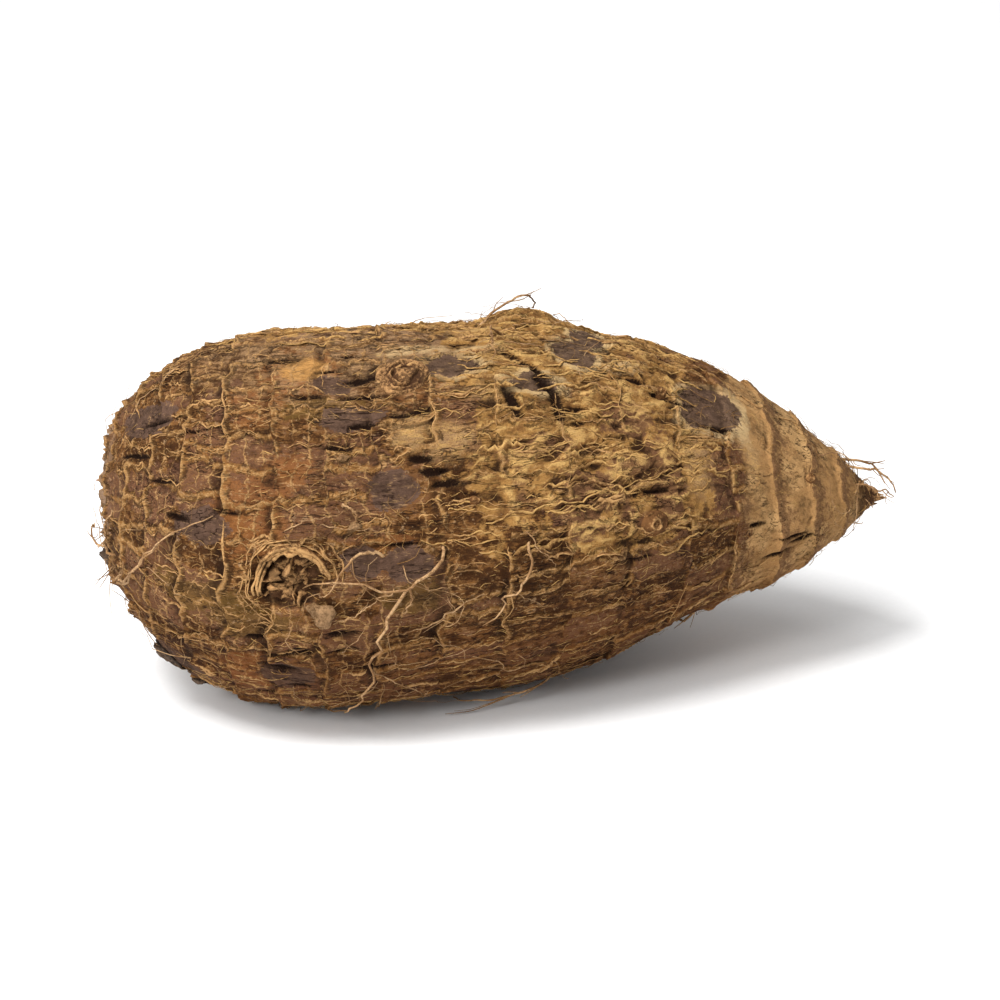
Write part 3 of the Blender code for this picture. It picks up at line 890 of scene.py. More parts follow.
    slate = plus(tree, field(tree, "slateEdge", "Fac"), bothWays(tree, blotch, 3.0))
    slate = plus(tree, slate, bothWays(tree, speckle, 1.2))
    rim = times(tree, zones[0], 0.7)
    rim = times(tree, ramp(tree, slate, 1.9, 0.9), plus(tree, rim, zones[1], clamp=True))
    colour = mix(tree, rim, colour, tones["slateRim"])
    colour = mix(tree, times(tree, ramp(tree, slate, 0.3, 0.1), 0.92), colour, tones["slate"])

    bold = ramp(tree, grain(tree, flow, 0.30, 2.0), 0.38, 0.62, 0.18, 0.62)
    ringLine = tornLine(tree, net[0], flow, bold, 1.5)
    ringLine = times(tree, ringLine, ramp(tree, extra[2], -0.25, 0.15))
    edgeLine = tornLine(tree, net[1], flow, 0.42, 1.7)
    quieter = minus(tree, 1.0, times(tree, zones[1], 0.8))
    lines = maths(tree, "MAXIMUM", ringLine, times(tree, edgeLine, quieter))
    # fainter rings stand between the scars on the crown's half
    turns = maths(tree, "MULTIPLY_ADD", extra[0], 3 * math.pi, bothWays(tree, cloud, 7.0))
    between = tornLine(tree, maths(tree, "SINE", turns), flow, 0.34, 1.0)
    between = times(tree, between, ramp(tree, along[0], 92.0, 66.0))
    between = times(tree, between, ramp(tree, zones[0], 0.6, 0.2))
    between = times(tree, between, ramp(tree, blotch, 0.40, 0.52, 0.25, 0.85))
    between = times(tree, between, ramp(tree, slate, 0.1, 0.5, 0.3, 1.0))
    lines = maths(tree, "MAXIMUM", lines, between)
    lineTone = mix(tree, ramp(tree, speckle, 0.40, 0.60), tones["gold"], tones["fringe"])
    colour = mix(tree, times(tree, ramp(tree, lines, 0.1, 0.7), 0.8), colour, lineTone)
    hoops = grain(tree, stretched(tree, flow, (1.0, 0.12, 0.12)), 1.0, 4.0)
    atCrown = ramp(tree, plus(tree, along[0], times(tree, blotch, 7.0)), 23.0, 11.0)
    atCrown = times(tree, atCrown, ramp(tree, hoops, 0.41, 0.58, 0.20, 0.90))
    colour = mix(tree, atCrown, colour, tones["sheath"])
    threads = thinLines(tree, flow, (0.16, 1.0, 1.0), 0.9, 0.022, ramp(tree, blotch, 0.48, 0.62))
    colour = mix(tree, times(tree, threads, times(tree, quieter, 0.7)), colour, tones["fringe"])
    # dark cracks along the corm, with the painted shadow lines below added to them
    cracks = thinLines(tree, flow, (0.20, 1.0, 1.0), 0.62, 0.020, ramp(tree, cloud, 0.42, 0.58))
    # painted shadow: a dark line beside each scale's torn border, where the raised edge shades the bark
    edgeShadow = minus(tree, plus(tree, border, bothWays(tree, speckle, 1.4)), 0.75)
    edgeShadow = ramp(tree, maths(tree, "ABSOLUTE", edgeShadow), 0.30, 0.12)
    edgeShadow = times(tree, edgeShadow, ramp(tree, blotch, 0.44, 0.56))
    cracks = maths(tree, "MAXIMUM", cracks, times(tree, edgeShadow, times(tree, quieter, 0.75)))
    colour = tinted(tree, colour, cracks, "crackAndShade", 0.85)

    # painted shade: the colour darkens towards the underside
    low = ramp(tree, plus(tree, along[2], times(tree, blotch, 8.0)), 3.0, -16.0, 0.0, 0.55)
    colour = mix(tree, low, colour, tones["belly"], "MULTIPLY")
    # soil and painted shade: the colour darkens in the low places of the relief
    facts = {"Colour": colour, "SoilShade": tones["soilShade"], "Depth": zones[2], "Flow": flow, "Amount": 0.8}
    soilShade = useGroup(tree, soilShadeGroup, facts).outputs
    # the slits are painted near black: the crack's own dark with painted shade in the gap
    slit = ragged(tree, field(tree, "slitEdge", "Fac"), speckle, 1.3, 0.16, -0.04)
    colour = mix(tree, times(tree, slit, 0.95), soilShade["Colour"], tones["crackAndShade"])
    tree.links.new(colour, shader.inputs["Base Color"])
    tree.links.new(ramp(tree, coarse["Height"], 0.3, 0.7, 0.95, 0.7), shader.inputs["Roughness"])
    height = plus(tree, times(tree, fine["Height"], 0.5), times(tree, coarse["Height"], 0.9))
    height = plus(tree, height, times(tree, speckle, 0.35))
    height = plus(tree, height, times(tree, lines, 0.30))
    height = minus(tree, height, times(tree, maths(tree, "MAXIMUM", cracks, slit), 0.35))
    setBump(tree, shader, height, 1.0, 1.0)
    return material


bark = makeBark()


def makeSkin():
    rows, columns = len(rowTable), skinFacts["columns"]
    bm = bmesh.new()
    bmesh.ops.create_uvsphere(bm, u_segments=columns, v_segments=rows + 1, radius=1.0)
    mesh = meshOf("skin", bm)
    ball = pointsOf(mesh)
    row = np.rint(np.arccos(np.clip(ball[:, 2], -1, 1)) / math.pi * (rows + 1)).astype(int) - 1
    column = np.rint(np.arctan2(ball[:, 1], ball[:, 0]) / math.tau * columns).astype(int) % columns
    inside = np.clip(row, 0, rows - 1)
    places = skinPlaces[inside, column]
    places[row < 0], places[row >= rows] = crownPole, tailPole
    for name, values in skinFields.items():
        (addVectorField if values.ndim == 3 else addNumberField)(mesh, name, values[inside, column])
    skin = finishPiece("skin", mesh, bark, places)
    faceOutward(mesh)
    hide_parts(node)


makeSkin()


def makeFibreMaterial(name, base, free, dark, mottle):
    material, tree, shader = newMaterial(name, 0.82, 0.14)
    place = put(tree, "ShaderNodeTexCoord").outputs["Object"]
    inMm = put(tree, "ShaderNodeVectorMath", {0: place, 3: 1 / mm}, operation="SCALE").outputs[0]
    reach = field(tree, "reach", "Fac")
    speckle = grain(tree, inMm, 1.9, 5.0, 0.75)
    cloud = grain(tree, inMm, 0.22, 3.0, 0.6)
    colour = mix(tree, ragged(tree, reach, speckle, 1.4, 0.35, 0.85), base, free)
    darker = ramp(tree, plus(tree, speckle, cloud), 1.10, 0.84)
    colour = mix(tree, times(tree, darker, mottle), colour, dark)
    tree.links.new(colour, shader.inputs["Base Color"])
    setBump(tree, shader, grain(tree, inMm, 5.0, 4.0, 0.7), 0.7, 0.25)
    return material


# Tone where it joins, tone of its free edge, dark tone and how mottled it is
fibreTones = {
    "torn bark": ((0.140, 0.060, 0.019, 1), (0.450, 0.252, 0.098, 1), (0.055, 0.022, 0.007, 1), 0.75),
    "mat fibre": ((0.230, 0.112, 0.034, 1), (0.500, 0.295, 0.102, 1), (0.120, 0.050, 0.015, 1), 0.7),
    "root fibre": ((0.280, 0.150, 0.062, 1), (0.480, 0.295, 0.145, 1), (0.120, 0.058, 0.024, 1), 0.6),
    "bud bark": ((0.075, 0.032, 0.012, 1), (0.400, 0.215, 0.085, 1), (0.030, 0.013, 0.005, 1), 0.6),
    "soot bark": ((0.022, 0.014, 0.010, 1), (0.110, 0.070, 0.045, 1), (0.012, 0.007, 0.005, 1), 0.6),
    "pale bark": ((0.150, 0.080, 0.031, 1), (0.295, 0.172, 0.082, 1), (0.085, 0.042, 0.017, 1), 0.7),
}
fibres = [makeFibreMaterial(name, *tones) for name, tones in fibreTones.items()]
tornBark, matFibre, rootFibre, budBark, sootBark, paleBark = fibres


edgeFacts = {
    "thick": 0.09,
    "ringPieces": 18,  # torn lengths round one scar, where the corm is fattest
    "ringGaps": 0.5,
    "edgeCopies": 2,
    "seed": 21,
}


def strips(name, arcs, angles, heights, leans, material, crosswise=2, thick=0.1):
    # arcs, angles and heights have one row per strip
    # leans: how far the free edge tips along and across, per height
    keep = calmShare(shareAt(arcs.mean(1)), angles.mean(1)) < 0.4
    arcs, angles, heights, leans = arcs[keep], angles[keep], heights[keep], leans[keep]
    count, points = arcs.shape
    mesh, a, b = stripMesh(name, count, points - 1, crosswise)
    step = np.rint(a * (points - 1)).astype(int)
    out = b[None, :] * heights[:, step]
    curl = b[None, :] ** 1.5
    width = np.maximum(girth(shareAt(arcs[:, step])), 3)
    arc = arcs[:, step] + curl * leans[:, 0:1] * heights[:, step]
    angle = angles[:, step] + curl * leans[:, 1:2] * heights[:, step] / width
    bend = np.minimum(1, np.abs(leans).max(1))[:, None]
    stand = out * (1 - 0.45 * curl * bend) - 0.25 * (1 - b[None, :])
    places = onSkin(np.clip(arc, 0.3, fullArc - 0.3), angle, stand)
    addNumberField(mesh, "reach", np.broadcast_to(b[None, :], out.shape))
    piece = finishPiece(name, mesh, material, places.reshape(-1, 3))
    wall = piece.modifiers.new("thickness", "SOLIDIFY")
    wall.thickness = thick * mm
    wall.offset = 0


def raggedHeights(rng, tall, points):
    count = len(tall)
    shares = np.linspace(0, 1, points)[None, :]
    heights = tall[:, None] * (0.25 + 0.75 * np.sin(math.pi * shares) ** 0.6)
    heights = heights * (1 + 0.4 * rng.uniform(-1, 1, (count, points)))
    heights[:, [0, -1]] *= 0.3
    return heights


def makeScarLips():
    rng = np.random.default_rng(edgeFacts["seed"])
    arcs, angles, tall, leans, points = [], [], [], [], 9
    for band, arc in enumerate(scarList):
        width = float(girth(shareAt(arc)))
        count = max(5, round(edgeFacts["ringPieces"] * width / form["radius"]))
        for i in range(count):
            start = (i + rng.uniform(-0.2, 0.3)) / count * math.tau
            faded = float(ringFade(np.array([float(band)]), np.array([start]))[0])
            if rng.uniform() < edgeFacts["ringGaps"] + 0.6 * faded:
                continue
            angles.append(np.linspace(start, start + rng.uniform(0.4, 1.25) / count * math.tau, points))
            arcs.append(arc - 0.05 + 0.12 * rng.standard_normal(points).cumsum())
            tall.append(rng.uniform(0.12, 0.42) * min(1, width / 15))
            leans.append((rng.uniform(-1.6, -0.3), 0))
    arcs, angles, tall, leans = map(np.array, (arcs, angles, tall, leans))
    heights = raggedHeights(rng, tall, points)
    strips("scarLips", arcs, angles, heights, leans, tornBark, 2, edgeFacts["thick"])


def makeScaleEdges():
    rng = np.random.default_rng(edgeFacts["seed"] + 1)
    arcs, angles, tall, leans, points = [], [], [], [], 9
    for band, edges in enumerate(edgeList[:-1]):
        start, end = bandEnds[band], bandEnds[band + 1]
        width = float(girth(shareAt((start + end) / 2)))
        tailward = float(smooth(0.72, 0.84, shareAt(start)))
        for index, angle in enumerate(edges):
            for _ in range(edgeFacts["edgeCopies"]):
                if rng.uniform() < 0.38 + 0.52 * tailward:
                    continue
                first = rng.uniform(0.0, 0.55)
                share = np.linspace(first, min(1.0, first + rng.uniform(0.25, 0.8)), points)
                arcs.append(start + share * (end - start))
                shift = rng.normal(0, 0.22)
                angles.append(angle + (edgeDrift(band, index, share) + shift) / max(width, 6))
                tall.append(rng.uniform(0.2, 0.7) * min(1, width / 15))
                leans.append((0, rng.choice((-1, 1)) * rng.uniform(0.4, 1.8)))
    arcs, angles, tall, leans = map(np.array, (arcs, angles, tall, leans))
    heights = raggedHeights(rng, tall, points)
    strips("scaleEdges", arcs, angles, heights, leans, tornBark, 1, edgeFacts["thick"])


makeScarLips()
makeScaleEdges()


def scatterOn(rng, count, wanted):  # random arcs and angles, even over the skin, where wanted() allows
    arcs, angles = np.zeros(0), np.zeros(0)
    while len(arcs) < count:
        arc = rng.uniform(2, fullArc - 2, 4000)
        angle = rng.uniform(0, math.tau, 4000)
        share = shareAt(arc)
        keep = rng.uniform(0, 1, 4000) < girth(share) / form["radius"] * wanted(share, angle)
        arcs, angles = np.concatenate([arcs, arc[keep]]), np.concatenate([angles, angle[keep]])
    return arcs[:count], angles[:count]


# size: the least and most length, then the least and most height
def shredStrips(name, count, wanted, size, lean, material, seed, points, thick):
    rng = np.random.default_rng(seed)
    arc, angle = scatterOn(rng, count, wanted)
    length = rng.uniform(*size[0], count)
    along = np.linspace(-0.5, 0.5, points)[None, :] * length[:, None]
    slant = rng.normal(0, 0.14, (count, 1))
    phase = rng.uniform(0, 9, (count, 1))
    waves = 0.42 * np.sin(along * 1.1 + phase) + 0.15 * np.sin(along * 3.1 + 2 * phase)
    arcs = np.clip(arc[:, None] + along, 0.5, fullArc - 0.5)
    angles = angle[:, None] + (waves + slant * along) / np.maximum(girth(shareAt(arcs)), 4)
    tall = size[1][0] + (size[1][1] - size[1][0]) * rng.uniform(0, 1, count) ** 2
    leanAlong = rng.uniform(-0.3, 0.3, count)
    leanAcross = rng.choice((-1, 1), count) * rng.uniform(0.3, lean, count)
    leans = np.stack([leanAlong, leanAcross], -1)
    strips(name, arcs, angles, raggedHeights(rng, tall, points), leans, material, 1, thick)


def inMat(u, angle):
    return matShare(u, angle, 0 * u)


def inScales(u, angle):
    ends = (1 - 0.85 * smooth(0.70, 0.82, u)) * smooth(0.02, 0.12, u)
    return (1 - 0.7 * inMat(u, angle)) * ends


# Name, count, where, size, lean, material, seed, points and thickness
for shredPiece in (
    ("matRidges", 330, inMat, ((3.0, 11.0), (0.16, 0.70)), 2.2, matFibre, 33, 14, 0.16),
    ("barkShreds", 900, inScales, ((1.4, 5.0), (0.08, 0.32)), 2.0, tornBark, 34, 6, 0.08),
    ("fineShreds", 1100, inScales, ((0.7, 2.2), (0.08, 0.22)), 2.0, matFibre, 35, 4, 0.08),
):
    shredStrips(*shredPiece)


rootFacts = {
    # thickness, height over the bark, then the share of the length and the angle of each bend
    "traced": (
        (0.31, 2.3, ((0.411, 12), (0.413, 9), (0.403, 6), (0.377, 0), (0.346, 1), (0.322, 3),
                     (0.290, 4), (0.268, 0))),
        (0.29, 2.0, ((0.356, 10), (0.342, 12), (0.320, 11), (0.304, 7), (0.292, -1))),
        (0.29, 2.2, ((0.377, 0), (0.360, -5), (0.352, -11), (0.350, -24), (0.322, -39), (0.292, -62))),
        (0.21, 1.6, ((0.377, 0), (0.376, -8))), (0.12, 1.6, ((0.366, 0), (0.332, -5), (0.302, -10))),
        (0.15, 1.2, ((0.431, -7), (0.405, -11), (0.374, -15))),
        (0.12, 1.2, ((0.348, -28), (0.377, -36), (0.417, -52))),
        (0.13, 1.4, ((0.366, -21), (0.364, -27))),
        (0.29, 1.3, ((0.033, -41), (0.049, -21), (0.083, 0), (0.105, 9), (0.125, 15))),
        (0.26, 1.2, ((0.035, -42), (0.067, -9), (0.093, 5), (0.128, 16), (0.166, 22))),
        (0.23, 1.1, ((0.303, 26), (0.312, 25), (0.315, 22), (0.312, 20))),
        (0.11, 0.5, ((0.238, 18), (0.258, 21), (0.282, 22), (0.306, 24))),
        (0.11, 0.5, ((0.268, 20), (0.326, 18), (0.354, 17), (0.370, 12))),
        (0.14, 0.8, ((0.146, 98), (0.113, 84), (0.071, 76), (0.041, 66))),
        (0.28, 1.8, ((0.513, 11), (0.505, 3), (0.495, -2), (0.473, -8), (0.463, -16))),
        (0.13, 1.0, ((0.501, 14), (0.519, 10), (0.539, 1))),
        (0.15, 1.2, ((0.913, 55), (0.950, 66), (0.975, 74))),
    ),
    # share of the length, angle, heading, length, turn per step, end height
    "grown": (
        (0.020, -14, 48, 14, -5, 1.0), (0.045, -34, 66, 12, 10, 1.5), (0.030, -20, -150, 7, 0, 2.5),
        (0.480, 97, 5, 16, 4, 1.2), (0.520, 88, -170, 15, 9, 1.4),
        (0.960, 78, -12, 10, 4, 4.5), (0.970, 40, 15, 8, -8, 4.0), (0.955, 120, 10, 9, 8, 3.6),
        (0.310, 160, -70, 22, 8, 1.2), (0.320, 196, -160, 17, -8, 1.4), (0.600, 158, -15, 18, 9, 1.2),
        (0.615, 148, 80, 12, 8, 1.6), (0.160, 125, 30, 16, 7, 1.4), (0.190, 240, -150, 13, -6, 1.4),
        (0.780, 285, -160, 14, 7, 1.4), (0.820, 200, 35, 13, -6, 1.8), (0.560, 300, 170, 20, 5, 1.0),
    ),
    "thick": 0.26,
    "arch": 2.0,
    "points": 28,
    "branches": 4,
    "hairs": 120,
    "hairThick": 0.10,
    # tufts: share of the length, angle, spread of each
    "tufts": ((0.36, -8, 0.04, 14), (0.40, -34, 0.05, 14), (0.30, -40, 0.06, 18), (0.06, -30, 0.04, 14),
              (0.975, 60, 0.012, 80), (0.55, 95, 0.05, 20), (0.25, 200, 0.10, 60),
              (0.02, 90, 0.015, 90)),
    "fuzz": 1500,
    "fuzzThick": 0.05,
    "seed": 44,
}


# One path per row. Curl is in degrees, and wander is how far each step strays, in degrees
def rootPaths(rng, u, angle, heading, length, curl, endHeight, points, arch, wander):
    arc, turn, heading = arcAt(u), np.radians(angle), np.radians(heading)
    step, curlStep = length / (points - 1), np.radians(curl) * 6 / (points - 1)
    spots = []
    for i in range(points):
        share = i / (points - 1)
        height = arch * math.sin(math.pi * share) + endHeight * share**1.5 - 1.0 * (1 - share) ** 8
        spots.append(np.stack([arc, turn, height], -1))
        width = np.maximum(girth(shareAt(arc)), 5)
        arc = np.clip(arc + step * np.cos(heading), 2, fullArc - 0.2)
        turn = turn + step * np.sin(heading) / width
        heading = heading + curlStep + np.radians(rng.normal(0, wander, len(arc)))
    spots = np.stack(spots, 1)
    return onSkin(spots[..., 0], spots[..., 1], spots[..., 2])


def tubeMesh(name, paths, thick, tipShare, sides):  # round tubes in one mesh
    curve = bpy.data.curves.new(name, "CURVE")
    curve.dimensions = "3D"
    curve.bevel_depth = 1.0
    curve.bevel_resolution = sides
    curve.use_fill_caps = True
    for path, width in zip(paths, thick):
        spline = curve.splines.new("POLY")
        spline.points.add(len(path) - 1)
        shares = np.linspace(0, 1, len(path))
        spline.points.foreach_set("co", np.c_[path * mm, np.ones(len(path))].ravel())
        spline.points.foreach_set("radius", width * mm * (1 - (1 - tipShare) * shares))
    guide = bpy.data.objects.new(name, curve)
    mesh = bpy.data.meshes.new_from_object(guide)
    bpy.data.objects.remove(guide)
    faceOutward(mesh, 0.002 * mm)
    mesh.name = name
    addNumberField(mesh, "reach", 0.55 + 0.6 * noiseAt(pointsOf(mesh) / mm, 3.0))
    return mesh


def tracedPath(rng, height, bends, points):  # a smooth path through the bends
    bends = np.array(bends, float)
    arc, turn = arcAt(bends[:, 0]), np.radians(bends[:, 1])
    gaps = np.hypot(np.diff(arc), np.diff(turn) * girth(bends[1:, 0]))
    reach = np.concatenate([[0], np.cumsum(gaps)]) / gaps.sum()
    shares = np.linspace(0, 1, points)
    line = np.stack([np.interp(shares, reach, arc), np.interp(shares, reach, turn)], -1)
    for _ in range(3):  # rounds the bends off
        line[1:-1] = (line[:-2] + line[2:] + line[1:-1]) / 3
    line = line + np.stack([rng.normal(0, 0.10, points), rng.normal(0, 0.004, points)], -1)
    lift = height * np.sin(math.pi * shares) ** 0.7 + 0.25 * rng.standard_normal(points).cumsum() / 5
    return onSkin(line[:, 0], line[:, 1], np.maximum(lift, 0.05) - 0.6 * (1 - shares) ** 12)


def makeRoots():
    rng = np.random.default_rng(rootFacts["seed"])
    paths = [tracedPath(rng, height, bends, 22) for _, height, bends in rootFacts["traced"]]
    thick = [facts[0] for facts in rootFacts["traced"]]
    finishPiece("tracedRoots", tubeMesh("tracedRoots", paths, thick, 0.35, 2), rootFibre)
    grown = np.array(rootFacts["grown"], float).T
    main = rootPaths(rng, *grown, rootFacts["points"], rootFacts["arch"], 9.0)
    paths, thick = list(main), list(rootFacts["thick"] * rng.uniform(0.7, 1.2, len(main)))
    for path in main:
        for _ in range(rootFacts["branches"]):  # side roots, finer than the one that bears them
            at = rng.integers(4, len(path) - 8)
            steps = np.arange(10)[:, None]
            side = rng.uniform((-1, -1, -1), (1, 0.1, 0.6))
            way = (path[at + 1] - path[at]) * rng.uniform(0.5, 1.2)
            branch = path[at] + way * steps * 0.8 + side * (steps * 0.5 - 0.03 * steps**2)
            branch[:, 2] = np.maximum(branch[:, 2], 0.3)
            paths.append(branch)
            thick.append(rootFacts["hairThick"] * rng.uniform(0.7, 1.4))
    finishPiece("thinRoots", tubeMesh("thinRoots", paths, thick, 0.4, 2), rootFibre)


def makeHairs():
    rng = np.random.default_rng(rootFacts["seed"] + 1)
    count = rootFacts["hairs"]
    tufts = np.array(rootFacts["tufts"])[rng.integers(0, len(rootFacts["tufts"]), count)].T
    u = np.clip(rng.normal(tufts[0], tufts[2]), 0.02, 0.985)
    angle = rng.normal(tufts[1], tufts[3])
    facts = (rng.uniform(0, 360, count), rng.uniform(4, 14, count), rng.uniform(-16, 16, count),
        rng.uniform(0.2, 2.8, count))
    paths = rootPaths(rng, u, angle, *facts, 12, 0.8, 12.0)
    thick = rootFacts["hairThick"] * rng.uniform(0.5, 1.3, count)
    finishPiece("fineHairs", tubeMesh("fineHairs", paths, thick, 0.4, 0), rootFibre)


def makeFuzz():
    rng = np.random.default_rng(rootFacts["seed"] + 2)
    count = rootFacts["fuzz"]
    u, angle = rng.uniform(0.02, 0.985, count), rng.uniform(0, 360, count)
    heading = rng.choice((0, 180), count) + rng.normal(0, 30, count)
    facts = (heading, rng.uniform(1.2, 6, count), rng.uniform(-12, 12, count),
        rng.uniform(0.0, 0.7, count))
    paths = rootPaths(rng, u, angle, *facts, 6, 0.35, 12.0)
    thick = rootFacts["fuzzThick"] * rng.uniform(0.6, 1.6, count)
    finishPiece("barkFuzz", tubeMesh("barkFuzz", paths, thick, 0.5, 0), matFibre)


makeRoots()
makeHairs()
makeFuzz()


budFacts = {
    "sides": 72,
    "rows": 34,
    # share of the length, angle, radius
    "leafy": ((0.381, 65, 4.4), (0.33, 172, 4.2), (0.66, 238, 3.8)),
    "leafyRims": ((2.0, 1.25), (2.75, 0.9), (3.5, 0.65)),  # reach and height
    "open": 0.75,  # how far the rims fade on the side away from the crown
    "eyes": (
        (0.660, 10, 2.6), (0.690, 62, 1.6), (0.897, 29, 1.5),
        (0.58, 145, 2.6), (0.20, 226, 2.6), (0.455, 24, 1.4),
    ),
    "eyeRims": ((0.35, 0.55), (0.95, 0.55)),  # as shares of the radius
    "petals": 26,
    "wraps": 22,
    "seed": 55,
}


def discMesh(name, arc, angle, radius, heightAt, oval=1.0):  # a round patch laid on the skin
    rows, sides = budFacts["rows"], budFacts["sides"]
    bm = bmesh.new()
    rim = [bm.verts.new((i / rows, 0, 0)) for i in range(rows + 1)]
    edges = [bm.edges.new(pair) for pair in zip(rim, rim[1:])]
    spin = {"cent": (0, 0, 0), "axis": (0, 0, 1), "angle": math.tau, "steps": sides, "use_merge": True}
    bmesh.ops.spin(bm, geom=rim + edges, **spin)
    bmesh.ops.remove_doubles(bm, verts=bm.verts, dist=1e-5)
    bmesh.ops.recalc_face_normals(bm, faces=bm.faces)
    if sum(f.normal.z for f in bm.faces) < 0:
        bmesh.ops.reverse_faces(bm, faces=bm.faces)
    mesh = meshOf(name, bm)
    plan = pointsOf(mesh)[:, :2] * radius
    out, turn = np.hypot(plan[:, 0], plan[:, 1]), np.arctan2(plan[:, 1], plan[:, 0])
    height = heightAt(out, turn, plan)
    height = height * smooth(radius, radius - 0.8, out) - 0.5 * smooth(radius - 0.9, radius, out)
    width = float(girth(shareAt(arc)))
    places = onSkin(arc + plan[:, 0] * oval, angle + plan[:, 1] / width, height)
    return mesh, places, height


def withPlanNoise(plan, size, seed):
    return noiseAt(np.c_[plan, np.full(len(plan), seed)], size)


def makeLeafyBud(index, u, degrees, radius):
    size = radius / 4.6

    def heightAt(out, turn, plan):
        wobble = 0.45 * withPlanNoise(plan, 2.6, index * 9)
        wobble = wobble + 0.15 * withPlanNoise(plan, 0.8, index * 9 + 3)
        at, total = (out / size + wobble), 0.15 + 0 * out
        for number, (reach, tall) in enumerate(budFacts["leafyRims"]):
            spot = np.c_[np.cos(turn), np.sin(turn), np.full(len(turn), number + 4.0 * index)]
            tear = np.clip(0.75 + 0.9 * noiseAt(spot, 0.6), 0.1, 1.3)
            tear = tear * (1 - budFacts["open"] * smooth(0.1, 1.0, np.cos(turn)))
            away = at - reach
            rim = np.where(away < 0, bump(away, 0.16), bump(away, 0.34))
            total = np.maximum(total, tall * tear * rim)
        x, y = plan[:, 0] / size + 0.3 * wobble, plan[:, 1] / size + 0.3 * wobble
        folded = np.maximum(np.abs(x - 0.2) * 1.1 - 0.35 * y, np.abs(y + 0.3))
        tip = smooth(1.9, 1.3, folded)
        fold = bump(x - 0.1 + 0.8 * y, 0.20) * smooth(1.2, 0.4, np.abs(y))
        total = np.maximum(total, tip * (0.85 + 0.55 * fold))
        total = total - 1.0 * bump(y - 1.7, 0.30) * bump(x + 0.1, 1.0)
        return size * total + 0.10 * withPlanNoise(plan, 0.6, index + 30)

    name, arc = f"bud{index}", float(arcAt(u))
    mesh, places, height = discMesh(name, arc, math.radians(degrees), radius, heightAt, 1.15)
    outer = np.linalg.norm(places - places.mean(0), axis=1)
    rimward = smooth(0.45 * radius, 0.9 * radius, outer)
    # partly painted light and shade: pale torn fibre where the bud stands high, painted shade in its
    # low gaps and hollows
    addNumberField(mesh, "reach", 0.20 + 0.42 * height + 0.34 * rimward)
    finishPiece(name, mesh, budBark, places)


def makeEye(index, u, degrees, radius):  # a small round scar of a lost root or bud
    def heightAt(out, turn, plan):
        at = out / radius + 0.10 * withPlanNoise(plan, 1.4, index * 7)
        total = 0.10 + 0.35 * smooth(1, 0.1, at)
        for reach, tall in budFacts["eyeRims"]:
            tear = 0.7 + withPlanNoise(plan, 1.0, index * 5)
            total = total + tall * radius / 3 * bump(at - reach * 0.85, 0.09) * tear
        return total + 0.1 * withPlanNoise(plan, 0.5, index + 60)

    name, arc = f"eye{index}", float(arcAt(u))
    mesh, places, height = discMesh(name, arc, math.radians(degrees), radius, heightAt)
    # partly painted shade: pale torn fibre on the raised rims, painted shade where the scar sinks
    addNumberField(mesh, "reach", 0.1 + 0.75 * height)
    finishPiece(name, mesh, tornBark, places)


